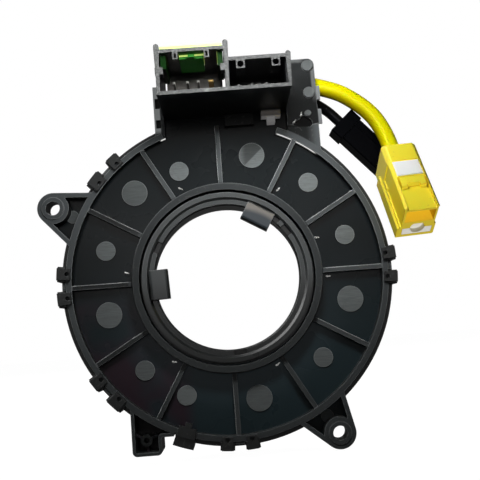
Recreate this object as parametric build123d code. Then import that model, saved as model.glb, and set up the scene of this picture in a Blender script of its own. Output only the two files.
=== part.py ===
from build123d import *
import math
import os

# Steering clock spring, seen from its back, the side that faces the steering column.
# Hub axis along Y: -Y is the column side, +Y the wheel side. +X right, +Z up.
# Origin on the hub axis, in the plane of the back rim. Millimetres and degrees.

# Main sizes: outside of the back rim, opening of the hub, and the wall from there to the tube
rim_radius = 51.9
ring_bore = 23.2
hub_wall = 4.0

# How far a cut runs past the faces that it opens
over = 1.0

# Back housing
rim_wall = 1.9
rim_depth = 9.0
rim_key_back = 0.3
rim_key_front = 2.9
rim_key_rise = 0.9
rim_key_gap = 0.3
panel_recess = 2.8
panel_thickness = 1.4
rib_count = 12
rib_width = 1.5
rib_recess = 0.2
rib_overlap = 0.5
rib_foot_length = 1.0
rib_foot_width = 2.2
collar_play = 1.0
collar_wall = 2.1
collar_height = 2.0
collar_root = 0.5
pad_height = 0.35

# Round pads on the panel, each at an angle and an inset from the rim
large_pad_radius = 4.2
small_pad_radius = 3.15
large_pads = ((133.5, 10.7), (74.7, 10.7), (346.0, 11.5), (280.7, 12.0), (193.5, 11.9))
small_pads = (
    (45.6, 10.8),
    (16.0, 11.1),
    (316.0, 11.8),
    (246.9, 12.0),
    (224.4, 12.1),
    (163.5, 11.4),
    (110.3, 13.4),
)

# Fixing ears, each at an angle and with half the angle that its foot spans
ear_thickness = 6.0
ear_end_radius = 5.1
ear_hole_radius = 2.25
ear_boss_radius = 3.6
ear_boss_rise = 0.3
ear_wall = 1.5
ear_floor = 1.6
ear_foot_radius = 1.2
ear_pocket_gap = 0.3
ear_pad_radius = 2.1
ear_pad_back = 6.0
ear_reach = 8.8
ears = ((154.3, 9.7), (-58.3, 8.8))

# Post bracket under the rim
bracket_left = -33.6
bracket_width = 9.4
bracket_drop = 2.4
bracket_root = 14.5
bracket_wing = 3.8
bracket_wing_foot = 5.5
bracket_pad_place = (2.1, 10.1)
bracket_pad_radius = 1.0
bracket_wall = 1.1
bracket_corner = 1.5
bracket_floor = 1.2
post_radius = 1.9
post_height = 5.0
post_tip = 0.6
post_inset = 4.3
post_rise = 4.5
post_hole_share = 0.45
post_wing_share = 2.2
post_wing_width = 0.8
post_wing_angles = (20, 150, 275)

# Front case
case_gap = 0.2
case_wall = 1.6
case_height = 10.5
case_overlap = 5.85
case_front_wall = 1.5
case_mouth_inset = 7.9
case_seam = 0.3
flange_reach = 1.5
flange_angle = 31.8
flange_span = 39.2
flange_gap = 0.6
flange_thickness = 2.0
clip_reach = 0.9
clip_back = 0.5
clip_root = 0.5
hook_bite = 1.6
hook_share = 0.8
hook_hollow_inset = 0.6
hook_hollow_radius = 0.7
hook_thickness = 1.0
hook_rise = 0.6
clip_angles = (130.2, 139.6, 174.9, 183.6, 215.1, 224.4, 266.0, 274.6, -4.0, 4.4)
clip_spans = (5.0, 6.4, 5.2, 5.4, 5.4, 6.4, 4.9, 4.9, 4.6, 5.0)
lug_angle = 251.3
lug_span = 7.0
lug_swell = 0.8
lug_nose_lap = 0.2
lug_noses = ((4.5, 0.36), (3.0, 0.95))
lug_nose_thickness = 1.2
lug_nose_rise = 0.8

# Neck that carries the sockets
strip_width = 3.2
lead_plate_width = 10.4
lid_height = 5.0
neck_wall = 1.4
neck_height = 9.7
neck_root_depth = 13.9
mouth_middle = 89.0
mouth_span = 43.0
strip_rise = 1.0
strip_back = 0.4
strip_slot = 1.6
strip_slot_edge = 0.5
strip_slot_depth = 1.4
strip_slots = ((14.0, 2.8), (7.4, 3.4))
lead_plate_rise = 7.0
lead_plate_corner = 2.2
lead_web_drop = 15.2
neck_shelf_reach = 1.1
neck_shelf_height = 4.0
neck_shelf_inset = 10.9
neck_shelf_back = 0.6

# Socket block
block_left = -17.0
block_right = 23.2
block_rise = 1.8
block_reach = 23.0
block_wall = 1.1
divider_inset = 20.9
left_bay_height = 13.9
right_bay_height = 10.2
cheek_rise = 1.8
peak_rise = 0.8
bay_back = 1.5
bay_back_face = 3.0
beam_hook_pitch = 9.5
beam_hook_width = 1.55
beam_hook_drop = 2.2
beam_hook_length = 1.8
beam_hook_slot = 0.7
beam_hook_wall = 0.4
beam_plate_pitch = 13.1
beam_plate_width = 1.95
beam_plate_rise = 0.25
nub_reach = 1.3
nub_height = 2.1
nub_length = 3.0
nub_drop = 5.5
boss_size = 2.6
boss_hole = 0.95
boss_length = 6.0
boss_insets = (3.6, 14.2)
foot_nub_insets = (2.6, 6.6, 8.8, 10.9)
foot_nub_width = 0.6
foot_nub_height = 0.5
foot_nub_length = 8.0
lip_length = 1.9
lip_head = 1.6
lip_foot = 0.87
lip_shifts = (0.2, 0.0, 0.35)
see_through = 0.9
latch_width = 6.3
latch_inset = 5.2
latch_bar = 2.3
latch_tongue = 2.6
latch_tongue_drop = 1.8
latch_reach = 1.8
latch_depth = 2.0
latch_groove = 0.6
seat_gap = 0.1

# Green lining of the left socket
shell_thickness = 0.9
shell_side_height = 4.1
shell_side_width = 1.6
shell_tongue_width = 7.4
shell_length = 13.0
shell_recess = 2.0
shell_gap = 0.15
shell_lid_recess = 0.6
shell_lid_seat = 0.1
shell_slot_width = 2.8
shell_slot_length = 1.5
shell_slot_pitch = 4.8

# Socket pins
pin_size = 0.8
pin_clearance = 0.1
pin_rise = 7.2
pin_tip = 12.0
left_pin_insets = (4.8, 9.0, 12.4)
blade_inset = 16.4
blade_width = 1.6
right_pin_rise = 4.7
right_pin_count = 5
right_pin_pitch = 2.5

# Terminal carriers
carrier_gap = 0.4
carrier_depth = 6.5
carrier_height = 3.6
carrier_inset = 1.7
carrier_foot_width = 9.0
carrier_clearance = 0.3
ribbon_window_width = 16.0
ribbon_seat = 0.1
rotor_carrier_seat = 0.05
rotor_carrier_span = 24.0
rotor_stop_width = 1.4
rotor_bar_width = 18.4
rotor_bar_rise = 1.6
rotor_pin_seat = 1.4

# Lead exit
cover_recess = 1.0
cover_thickness = 1.0
stake_head = 0.7
stake_head_ratio = 2.0
stake_clearance = 0.05
stake_shank_radius = 0.9
small_stake_radius = 0.5
stake_inset = 2.3
stake_stagger = 0.1
small_stake_inset = 3.3
upper_stake_drop = 2.5
lower_stake_drop = 11.6
small_stake_drop = 18.6
tab_reach = 1.2
tab_drop = 14.0
tab_height = 4.5
lead_pocket = (
    (6.1, 13.4),
    (8.0, 14.0),
    (8.6, 14.8),
    (7.0, 15.8),
    (2.9, 16.1),
    (1.9, 15.2),
    (2.3, 13.9),
    (4.1, 12.4),
    (5.4, 12.1),
)
lug_block_reach = 1.2
lug_block_height = 4.8

# Leads. Places are measured from the neck's right side and its top, depths from the rim's back.
sleeve_radius = 2.75
sleeve_exit = (7.0, 0.0)
sleeve_places = ((6.8, 6.4, -2.2), (13.0, 6.0, -6.2), (18.9, 5.6, -11.6), (22.3, 4.5, -18.6))
black_sleeve_radius = 1.75
black_exit = (9.6, -4.5)
lead_hole_clearance = 0.15
sleeve_last_run = 7.6
black_last_run = 5.6

# Yellow plug, in its own frame: X across, Y from its front face back, Z up from its mouth
plug_width = 11.4
plug_depth = 14.0
plug_length = 27.9
plug_step_reach = 0.7
plug_step_top = 22.5
plug_step_front = 9.8
plug_edge = 0.6
plug_shoulder = 1.6
plug_hood_bevel = 1.4
plug_wall = 1.1
plug_place = (26.3, -18.9, -47.8)
plug_lean = -31.5
plug_swing = -4.4
plug_turn = 1.0
sleeve_entry = 6.9
sleeve_seat = 22.5
tray_depth = 1.7
tray_floor = 0.6
mouth_height = 5.0
mouth_depth = 14.0
window_height = 6.5
window_width = 8.6
window_from_top = 8.5
window_sill = 0.4
window_depth = 1.3
lever_width = 7.8
lever_height = 4.2
lever_recess = 0.2
lever_notch = 4.0
insert_height = 2.8
insert_depth = 5.0
insert_width = 9.4
bump_radius = 2.3
bump_depth = 1.5
side_panel_front = 1.2
side_panel_depth = 7.8
side_panel_top = 19.3
side_nub_length = 4.0
side_nub_width = 0.8
groove_depth = 0.5
lock_gap = 0.07
blade_count = 2
blade_pitch = 4.0
blade_recess = 6.0
plug_blade_width = 1.5
plug_blade_thickness = 0.7

# Black plug
black_plug_width = 8.8
black_plug_depth = 7.6
black_plug_length = 22.0
black_plug_angle = -47.8
black_plug_place = (9.0, 12.0, -12.0)
black_collar_length = 4.6
black_collar_rise = 0.6
black_ridge = 0.8
black_mouth_height = 3.6
black_mouth_depth = 12.0
black_blade_pitch = 3.0
black_blade_recess = 6.0

# Rotor
tube_wall = 1.6
bearing_clearance = 0.07
ring_back = 2.0
ring_lip_recess = 0.8
ring_lead_in = 0.3
ring_step = 1.8
ring_chamfer = 0.7
ring_flange_gap = 0.3
ring_flange_thickness = 1.6
ring_play = 0.4
ring_leg_length = 5.0
ring_leg_wall = 1.3
ring_leg_span = 24.0
ring_leg_count = 3
ring_leg_turn = 20.0
ring_fit = 0.1
notch_angles = (153.0, 34.5, 46.0, 276.0)
notch_spans = (9.0, 9.0, 6.0, 9.5)
notch_width = 1.9
notch_depth = 1.4
tab_angles = (59.3, 182.7)
tab_width = 9.4
tab_length_inside = 4.5
tab_root_gap = 0.7
tab_crown = 1.1
tab_thickness = 3.4
disc_play = 0.3
disc_inset = 2.4
disc_thickness = 1.8
disc_edge = 1.2
disc_rim = 1.0
hub_rim = 2.0
wheel_socket_width = 24.0
wheel_socket_height = 10.0
wheel_socket_depth = 10.0
wheel_socket_wall = 1.2
wheel_socket_inset = 7.0
wheel_pin_count = 6
wheel_pin_pitch = 3.2
wheel_pin_length = 5.0
drive_boss_radius = 3.0
drive_boss_height = 4.0
drive_boss_inset = 6.0
drive_boss_angles = (210.0, 330.0)

# Ribbon cable and glide sheets
ribbon_turns = 4
ribbon_thickness = 0.4
ribbon_room = 4.0
ribbon_margin = 2.9
ribbon_width = 12.0
sheet_thickness = 0.3
sheet_gap = 0.3
sheet_margin = 0.7

# Radii from the hub's opening outwards
tube_radius = ring_bore + hub_wall
tube_bore = tube_radius - tube_wall
ring_land_bore = ring_bore + ring_step
tab_inner_radius = ring_bore - tab_length_inside
tab_outer_radius = tube_bore - tab_root_gap
collar_bore = tube_radius + collar_play
collar_radius = collar_bore + collar_wall
ring_flange_radius = collar_bore - ring_flange_gap
ribbon_inner = tube_radius + ribbon_room

# Radii and circles from the rim
rim_bore = rim_radius - rim_wall
rim_middle = rim_radius - rim_wall / 2
ribbon_outer = rim_radius - ribbon_margin
disc_radius = rim_radius - disc_inset
case_inner = rim_radius + case_gap
case_outer = case_inner + case_wall
case_mouth_radius = rim_radius - case_mouth_inset
ear_circle = rim_radius + ear_reach
wheel_socket_z = case_mouth_radius - wheel_socket_inset
drive_boss_circle = case_mouth_radius - drive_boss_inset
bracket_bottom = -rim_radius - bracket_drop
bracket_top = bracket_root - rim_radius
bracket_right = bracket_left + bracket_width
bracket_end = bracket_right + bracket_wing
post_x = bracket_left + post_inset
post_z = bracket_bottom + post_rise

# Depths from the rim's back
panel_front = panel_recess + panel_thickness
ribbon_back = panel_front + sheet_thickness + ribbon_seat
ribbon_end = ribbon_back + ribbon_width
carrier_back = panel_front + carrier_gap
pin_end = carrier_back + carrier_depth - pin_size
neck_depth = rim_depth + lid_height
flange_start = rim_depth + flange_gap
case_front = rim_depth + case_height
disc_back = case_front + disc_play
disc_front = disc_back + disc_thickness
ring_front = panel_recess - ring_play
ring_lip_back = ring_lip_recess - ring_back
tab_front = tab_thickness - tab_crown - ring_back

# Depths of the green lining from the block's mouth
shell_back = shell_recess - block_reach
shell_front = shell_back + shell_length

# Heights and sides of the neck and its sockets
neck_root = rim_radius - neck_root_depth
neck_left = block_left - strip_width
neck_right = block_right + lead_plate_width
block_foot = rim_radius + block_rise
left_ceiling = block_foot + left_bay_height
right_ceiling = block_foot + right_bay_height
neck_top = block_foot + neck_height
strip_top = neck_top + strip_rise
lead_plate_top = neck_top + lead_plate_rise
lead_web_top = neck_top - lead_web_drop
divider_left = block_left + divider_inset
divider_right = divider_left + block_wall
neck_shelf_left = divider_left - neck_shelf_reach
neck_shelf_right = block_right - neck_shelf_inset
neck_shelf_foot = block_foot - neck_shelf_height
latch_x = block_right - latch_inset
pin_row = block_foot + pin_rise
right_pin_row = block_foot + right_pin_rise
sleeve_start = neck_right - neck_wall / 2


def slab(profile, y0, y1):
    """A flat profile drawn in X and Z, filled from y0 to y1."""
    return extrude(Plane.XZ.offset(-y1) * profile, amount=y1 - y0)


def annulus(r_in, r_out):
    return Circle(r_out) - Circle(r_in)


def ring(r_in, r_out, y0, y1):
    return slab(annulus(r_in, r_out), y0, y1)


def polar(radius, angle):
    turn = math.radians(angle)
    return (radius * math.cos(turn), radius * math.sin(turn))


def wedge(angle, span, reach):
    """A pie slice that is wider than any ring it cuts."""
    edge = [polar(reach, angle + turn) for turn in (-span / 2, 0, span / 2)]
    return Polygon((0, 0), *edge)


def arc_piece(r_in, r_out, angle, span):
    return annulus(r_in, r_out) & wedge(angle, span, 2 * r_out)


def bar(x0, x1, z0, z1):
    """A rectangle from its four edges."""
    return Pos((x0 + x1) / 2, (z0 + z1) / 2) * Rectangle(x1 - x0, z1 - z0)


def block(x0, x1, y0, y1, z0, z1):
    return slab(bar(x0, x1, z0, z1), y0, y1)


def disc_at(x, z, radius):
    return Pos(x, z) * Circle(radius)


def solids_of(*shapes):
    return Compound(children=[solid for shape in shapes for solid in shape.solids()])


# Back housing

def neck_outline():
    """The whole neck: socket foot, left strip and the taller plate at the lead exit."""
    foot = bar(neck_left, neck_right, neck_root, neck_top)
    strip = bar(neck_left, block_left, neck_root, strip_top)
    tall = bar(block_right, neck_right, neck_root, lead_plate_top)
    corner = tall.vertices().sort_by(Axis.Y)[-2:].sort_by(Axis.X)[-1]
    return foot + strip + fillet(corner, lead_plate_corner)


def ear_outline(angle, half_span):
    foot_circle = rim_radius - ear_foot_radius
    feet = [disc_at(*polar(foot_circle, angle + side * half_span), ear_foot_radius) for side in (-1, 1)]
    end = disc_at(*polar(ear_circle, angle), ear_end_radius)
    edges = end.edges() + feet[0].edges() + feet[1].edges()
    return make_hull(edges)


def ear(angle, half_span):
    """One fixing ear: walled triangle with a pocket, a boss round the hole and one pad."""
    hx, hz = polar(ear_circle, angle)
    outline = ear_outline(angle, half_span)
    pocket = offset(outline, -ear_wall) - disc_at(hx, hz, ear_end_radius)
    pocket -= Circle(rim_radius + ear_pocket_gap)
    floor = ear_thickness - ear_floor
    pad = disc_at(*polar(ear_circle - ear_pad_back, angle), ear_pad_radius)
    body = slab(outline - Circle(rim_middle), 0, ear_thickness)
    body -= slab(pocket, -over, floor)
    body += slab(pad, floor - pad_height, floor)
    body += slab(disc_at(hx, hz, ear_boss_radius), -ear_boss_rise, ear_thickness)
    return body - slab(disc_at(hx, hz, ear_hole_radius), -over, ear_thickness + over)


def post_bracket():
    """Open box under the rim with a three-winged post."""
    middle = ((bracket_left + bracket_right) / 2, (bracket_bottom + bracket_top) / 2)
    shape = Pos(*middle) * RectangleRounded(bracket_width, bracket_top - bracket_bottom, bracket_corner)
    shape += bar(bracket_left, bracket_end, bracket_bottom + bracket_wing_foot, bracket_top)
    shape -= Circle(rim_middle)
    inner = offset(shape, -bracket_wall) - Circle(rim_radius + ear_pocket_gap)
    floor = rim_depth - bracket_floor
    post_back = floor - post_height - post_tip
    body = slab(shape, 0, rim_depth) - slab(inner, -over, floor)
    length = post_radius * post_wing_share
    wing = Pos(length / 2, 0) * Rectangle(length, post_wing_width)
    wings = Sketch() + [Pos(post_x, post_z) * Rot(0, 0, turn) * wing for turn in post_wing_angles]
    body += slab(wings & shape, floor - post_height, floor)
    body += slab(disc_at(post_x, post_z, post_radius), post_back, floor)
    pad_x, pad_z = bracket_left + bracket_pad_place[0], bracket_bottom + bracket_pad_place[1]
    body += slab(disc_at(pad_x, pad_z, bracket_pad_radius), floor - pad_height, floor)
    hole = disc_at(post_x, post_z, post_radius * post_hole_share)
    return body - slab(hole, post_back - over, floor - over)


def pads():
    places = [(*place, large_pad_radius) for place in large_pads]
    places += [(*place, small_pad_radius) for place in small_pads]
    return [
        slab(disc_at(*polar(rim_radius - inset, angle), radius), panel_recess - pad_height, panel_recess)
        for angle, inset, radius in places
    ]


def ribs():
    root = collar_radius - rib_overlap
    strip = bar(root, rim_middle, -rib_width / 2, rib_width / 2)
    foot = Polygon(
        (root, -rib_foot_width / 2),
        (root + rib_foot_length, -rib_width / 2),
        (root + rib_foot_length, rib_width / 2),
        (root, rib_foot_width / 2),
    )
    spokes = Sketch() + [
        Rot(0, 0, 360 * index / rib_count) * (strip + foot) for index in range(rib_count)
    ]
    return slab(spokes, rib_recess, panel_recess)


def rim_keys():
    """Small blocks on the rim, one between the two clips of each pair."""
    clips = list(zip(clip_angles, clip_spans))
    keys = Sketch()
    for (low, low_span), (high, high_span) in zip(clips[::2], clips[1::2]):
        start, end = low + low_span / 2 + rim_key_gap, high - high_span / 2 - rim_key_gap
        keys += arc_piece(rim_middle, rim_radius + rim_key_rise, (start + end) / 2, end - start)
    return slab(keys, rim_key_back, rim_key_front)


def neck_shell():
    """Neck walls, open towards the wheel, with its floor level with the panel."""
    outline = neck_outline() - Circle(rim_middle)
    inner = offset(neck_outline(), -neck_wall) - Circle(rim_radius)
    body = slab(outline, panel_recess, rim_depth)
    body -= slab(inner, panel_front, rim_depth + over)
    shelf = bar(neck_shelf_left, neck_shelf_right, neck_shelf_foot, block_foot - seat_gap)
    body += slab(shelf, neck_shelf_back, panel_recess)
    plate = neck_outline() & bar(block_right + seat_gap, neck_right, 0, lead_plate_top)
    plate -= Circle(rim_bore)
    body += slab(plate, cover_recess, panel_recess)
    web = plate & bar(block_right, neck_right, 0, lead_web_top)
    body += slab(web - lead_pocket_outline(), 0, cover_recess)
    strip = bar(neck_left, block_left, neck_root, strip_top) - Circle(rim_bore)
    return body + slab(strip, strip_back, panel_recess)


def strip_slot_cuts():
    x0 = neck_left + strip_slot_edge
    y1 = strip_back + strip_slot_depth
    feet = [(strip_top - drop, height) for drop, height in strip_slots]
    return [block(x0, x0 + strip_slot, -over, y1, foot, foot + height) for foot, height in feet]


def lead_hole(route, radius):
    """Round hole where a sleeve leaves the neck, along the sleeve's first run."""
    start, following = Vector(*route[0]), Vector(*route[1])
    wall = Plane(origin=start, z_dir=following - start)
    return wall * Cylinder(radius + lead_hole_clearance, 4 * neck_wall)


def lead_holes():
    return [lead_hole(sleeve_route(), sleeve_radius), lead_hole(black_route(), black_sleeve_radius)]


def back_housing():
    body = ring(tube_radius + bearing_clearance, rim_middle, panel_recess, panel_front)
    body += ring(rim_bore, rim_radius, 0, rim_depth)
    body += ring(collar_bore, collar_radius, -collar_height, panel_recess)
    body += ring(collar_bore, collar_radius + collar_root, rib_recess, panel_recess)
    body += ribs()
    for pad in pads():
        body += pad
    mouth = arc_piece(rim_bore, rim_radius + over, mouth_middle, mouth_span)
    body -= slab(mouth, -over, panel_recess)
    body += rim_keys()
    body += neck_shell()
    body -= ribbon_window(panel_front, rim_depth + over)
    for angle, half_span in ears:
        body += ear(angle, half_span)
    body += post_bracket()
    for cut in strip_slot_cuts() + lead_holes() + pin_holes():
        body -= cut
    for x, z, radius in stake_places():
        body -= slab(disc_at(x, z, radius + stake_clearance), 0, panel_front + over)
    return body


def ribbon_window(y0, y1):
    """Opening in the rim where the ribbon's outer end meets its terminal carrier."""
    return block(-ribbon_window_width / 2, ribbon_window_width / 2, y0, y1, neck_root, rim_radius + over)


# Front case

def neck_lid():
    """The front of the neck, closing its cavity."""
    outline = neck_outline() - Circle(case_outer - case_seam)
    cavity = offset(outline, -neck_wall)
    return slab(outline, rim_depth, neck_depth) - slab(cavity, rim_depth - over, neck_depth - neck_wall)


def front_case():
    body = ring(case_inner, case_outer, rim_depth - case_overlap, case_front)
    body += ring(case_mouth_radius, case_inner + case_seam, case_front - case_front_wall, case_front)
    flange_end = flange_start + flange_thickness
    flange = arc_piece(case_outer - case_seam, case_outer + flange_reach, flange_angle, flange_span)
    body += slab(flange, flange_start, flange_end)
    body -= slab(offset(neck_outline(), case_gap), 0, rim_depth)
    for angle, half_span in ears:
        body -= slab(offset(ear_outline(angle, half_span), case_gap), 0, ear_thickness + case_gap)
    x0, x1 = bracket_left - case_gap, bracket_end + case_gap
    body -= block(x0, x1, 0, rim_depth + case_gap, bracket_bottom - over, bracket_top)
    body += neck_lid()
    for angle, span in zip(clip_angles, clip_spans):
        body += clip(angle, span)
    body += lug()
    window = ribbon_window_width / 2
    z0, z1 = case_inner - case_wall, case_outer + case_wall
    body -= block(-window, window, rim_depth - over, neck_depth - neck_wall, z0, z1)
    for hole in lead_holes():
        body -= hole
    return body


def clip(angle, span):
    """Snap arm over the rim, its hook narrower and pierced by a round hole."""
    outer = case_outer + clip_reach
    width = span * hook_share
    back = -clip_back - hook_rise
    arm = slab(arc_piece(case_inner, outer, angle, span), 0, flange_start + clip_root)
    hook = slab(arc_piece(rim_radius - hook_bite, outer, angle, width), back, back + hook_thickness)
    leg = slab(arc_piece(case_inner, outer, angle, width), -clip_back, 0)
    hollow = disc_at(*polar(rim_radius - hook_hollow_inset, angle), hook_hollow_radius)
    hook -= slab(hollow, back - over, back + hook_thickness + over)
    return arm + hook + leg


def lug():
    """Wider catch at the foot of the rim, with two noses over the rim that form a cross."""
    outer = case_outer + clip_reach + lug_swell
    body = slab(arc_piece(case_inner, outer, lug_angle, lug_span), -clip_back, flange_start + clip_root)
    back = -clip_back - lug_nose_rise
    for bite, share in lug_noses:
        nose = arc_piece(rim_radius - bite, case_inner + lug_nose_lap, lug_angle, lug_span * share)
        body += slab(nose, back, back + lug_nose_thickness)
    return body


# Sockets

def right_pin_places():
    middle = (divider_right + block_right - block_wall) / 2
    first = middle - right_pin_pitch * (right_pin_count - 1) / 2
    return [first + right_pin_pitch * index for index in range(right_pin_count)]


def pin_layout():
    """Centre and width of every socket pin."""
    left = [(block_left + inset, pin_row, pin_size) for inset in left_pin_insets]
    left.append((block_left + blade_inset, pin_row, blade_width))
    right = [(x, right_pin_row, pin_size) for x in right_pin_places()]
    return left, right


def pin_bar(x, z, width, y0, y1, clearance=0.0):
    half_x = width / 2 + clearance
    half_z = pin_size / 2 + clearance
    return block(x - half_x, x + half_x, y0, y1, z - half_z, z + half_z)


def pin_holes():
    left, right = pin_layout()
    y0, y1 = -bay_back_face - over, panel_front + over
    return [pin_bar(*pin, y0, y1, pin_clearance) for pin in left + right]


def pointed_pins(pins, y0, y1, tip):
    """Square pins whose end face at the tip (0 for y0, -1 for y1) has bevelled edges."""
    made = []
    for pin in pins:
        piece = pin_bar(*pin, y0, y1)
        made.append(chamfer(piece.faces().sort_by(Axis.Y)[tip].edges(), pin_size / 4))
    return solids_of(*made)


def cheek(x0, x1, shift, top):
    """A side wall with a lip at the mouth that thickens upwards to a round head."""
    middle = (x0 + x1) / 2 + shift
    shoulder = top - lip_head / 2
    flank = Polygon(
        (middle - lip_foot / 2, block_foot),
        (middle + lip_foot / 2, block_foot),
        (middle + lip_head / 2, shoulder),
        (middle - lip_head / 2, shoulder),
    )
    back = lip_length - block_reach
    lip = slab(flank + disc_at(middle, shoulder, lip_head / 2), -block_reach, back)
    return lip + block(x0, x1, back, panel_recess, block_foot, shoulder)


def socket_block():
    """Two open-mouthed sockets side by side, moulded as one."""
    y0, y1 = -block_reach, panel_recess
    body = block(block_left, block_right, y0, y1, block_foot, block_foot + block_wall)
    left_shift, middle_shift, right_shift = lip_shifts
    body += cheek(block_left, block_left + block_wall, left_shift, left_ceiling + cheek_rise)
    body += cheek(divider_left, divider_right, middle_shift, left_ceiling + cheek_rise)
    body += cheek(block_right - block_wall, block_right, right_shift, right_ceiling + peak_rise)
    body += block(block_left, divider_right, y0, y1, left_ceiling - block_wall, left_ceiling)
    body += block(divider_left, block_right, y0, y1, right_ceiling - block_wall, right_ceiling)
    body += back_wall()
    body -= lining_openings()
    body += beam_hooks()
    body += beam_plates()
    body += side_nubs()
    body += ceiling_bosses()
    body += t_latch()
    body += foot_nubs()
    for hole in pin_holes():
        body -= hole
    return body


def back_wall():
    """Back of both bays, with a see-through slot at each end of the left one."""
    y0 = -bay_back_face
    left = block(block_left, divider_right, y0, y0 + bay_back, block_foot, left_ceiling)
    right = block(divider_left, block_right, y0, y0 + bay_back, block_foot, right_ceiling)
    inner_left = block_left + block_wall
    gap_foot = pin_row + pin_size
    for x0 in (inner_left, divider_left - see_through):
        left -= block(x0, x0 + see_through, y0 - over, over, gap_foot, left_ceiling - block_wall)
    return left + right


def beam_middle():
    return (block_left + block_wall + divider_left) / 2


def lining_spans():
    """Left and right edge of the lining's left strip, its tongue and its right strip."""
    x0, x1 = lid_span()
    half = shell_tongue_width / 2
    tongue = (beam_middle() - half, beam_middle() + half)
    return [(x0, x0 + shell_side_width), tongue, (x1 - shell_side_width, x1)]


def lid_span():
    """Left and right edge of the lining's lid, between the lips of the cheeks."""
    left = block_left + block_wall / 2 + lip_shifts[0] + lip_head / 2
    right = divider_left + block_wall / 2 + lip_shifts[1] - lip_head / 2
    return left + shell_gap, right - shell_gap


def lining_openings():
    """Where the lining passes through the ceiling of the left bay."""
    y0, y1 = shell_back - shell_gap, shell_front + shell_gap
    z0, z1 = left_ceiling - block_wall - over, left_ceiling + over
    return [block(x0 - shell_gap, x1 + shell_gap, y0, y1, z0, z1) for x0, x1 in lining_spans()]


def beam_hooks():
    """Two small slotted hooks that hang from the beam."""
    y0, y1 = -block_reach, beam_hook_length - block_reach
    z1 = left_ceiling - block_wall
    z0 = z1 - beam_hook_drop
    half, slot = beam_hook_width / 2, beam_hook_slot / 2
    hooks = []
    for side in (-1, 1):
        x = beam_middle() + side * beam_hook_pitch / 2
        hole = block(x - slot, x + slot, y0 - over, y1 + over, z0 + beam_hook_wall, z1 - beam_hook_wall)
        hooks.append(block(x - half, x + half, y0, y1, z0, z1) - hole)
    return hooks


def beam_plates():
    """Two flat plates on the front of the beam, outside its hooks."""
    y0 = -block_reach - beam_plate_rise
    half = beam_plate_width / 2
    z0, z1 = left_ceiling - block_wall, left_ceiling - seat_gap
    places = [beam_middle() + side * beam_plate_pitch / 2 for side in (-1, 1)]
    return [block(x - half, x + half, y0, -block_reach, z0, z1) for x in places]


def side_nubs():
    """Catches for the plug on the side walls of the left bay."""
    z1 = left_ceiling - nub_drop
    z0 = z1 - nub_height
    y0 = -block_reach
    y1 = y0 + nub_length
    left = block(block_left, block_left + block_wall + nub_reach, y0, y1, z0, z1)
    right = block(divider_left - nub_reach, divider_right, y0, y1, z0, z1)
    return [left, right]


def ceiling_bosses():
    """Two square guides with a round hole, under the ceiling of the right bay."""
    y0 = -block_reach
    z1 = right_ceiling - block_wall
    z0 = z1 - boss_size
    y1 = y0 + boss_length
    half = boss_size / 2
    bosses = []
    for inset in boss_insets:
        x = divider_right + inset
        hole = slab(disc_at(x, (z0 + z1) / 2, boss_hole), y0 - over, y1 - block_wall)
        bosses.append(block(x - half, x + half, y0, y1, z0, z1) - hole)
    return bosses


def t_latch():
    """T-shaped latch at the foot of the block, hooked on the housing."""
    x0, x1 = latch_x - latch_width / 2, latch_x + latch_width / 2
    t0, t1 = latch_x - latch_tongue / 2, latch_x + latch_tongue / 2
    foot = block_foot - latch_bar
    back = -latch_reach
    head = block(x0, x1, back, latch_depth, foot, block_foot + block_wall / 2)
    tongue = block(t0, t1, back / 2, panel_recess, foot - latch_tongue_drop, foot)
    groove = block(x0, x1, back, back + latch_groove, foot + latch_groove, foot + 2 * latch_groove)
    return head + tongue - groove


def foot_nubs():
    """Small key ribs on the floor of the right bay."""
    top = block_foot + block_wall + foot_nub_height
    y0, y1 = -block_reach, foot_nub_length - block_reach
    half = foot_nub_width / 2
    places = [divider_right + inset for inset in foot_nub_insets]
    return [block(x - half, x + half, y0, y1, block_foot, top) for x in places]


def green_lock_shell():
    """Green lining: a lid on the block, a tongue and two side strips that pass through its ceiling."""
    z1 = left_ceiling - block_wall - shell_gap
    lid_foot = left_ceiling + shell_lid_seat
    lid_top = lid_foot + shell_thickness
    x0, x1 = lid_span()
    shell = block(x0, x1, shell_lid_recess - block_reach, shell_front, lid_foot, lid_top)
    drops = (shell_side_height, shell_thickness, shell_side_height)
    for (left, right), drop in zip(lining_spans(), drops):
        shell += block(left, right, shell_back, shell_front, z1 - drop, lid_foot)
    y0, y1 = shell_back - shell_gap, shell_back + shell_slot_length
    half = shell_slot_width / 2
    for side in (-1, 1):
        x = beam_middle() + side * shell_slot_pitch / 2
        shell -= block(x - half, x + half, y0, y1, z1 - shell_thickness - over, lid_top + over)
    return shell


def left_socket_pins():
    return pointed_pins(pin_layout()[0], -pin_tip, pin_end, 0)


def right_socket_pins():
    return pointed_pins(pin_layout()[1], -pin_tip, pin_end, 0)


def stator_terminal_carrier():
    """Bar across the neck that grips the pins, with a foot down to the end of the ribbon."""
    y0, y1 = carrier_back, carrier_back + carrier_depth
    top = neck_top - neck_wall - carrier_clearance
    x0, x1 = block_left + carrier_inset, block_right - carrier_inset
    body = block(x0, x1, y0, y1, pin_row - carrier_height, top)
    foot_end = ribbon_outer + ribbon_thickness / 2 + ribbon_seat
    half = carrier_foot_width / 2
    body += block(-half, half, y0 + ribbon_seat, y1, foot_end, pin_row)
    left, right = pin_layout()
    for pin in left + right:
        body -= pin_bar(*pin, y0 - over, pin_end)
    return body


# Lead exit

def stake_places():
    """Place and shank radius of the two stakes and the locating pin of the lead cover."""
    x = neck_right - stake_inset
    top = lead_plate_top
    return [
        (x, top - upper_stake_drop, stake_shank_radius),
        (x - stake_stagger, top - lower_stake_drop, stake_shank_radius),
        (neck_right - small_stake_inset, top - small_stake_drop, small_stake_radius),
    ]


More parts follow.
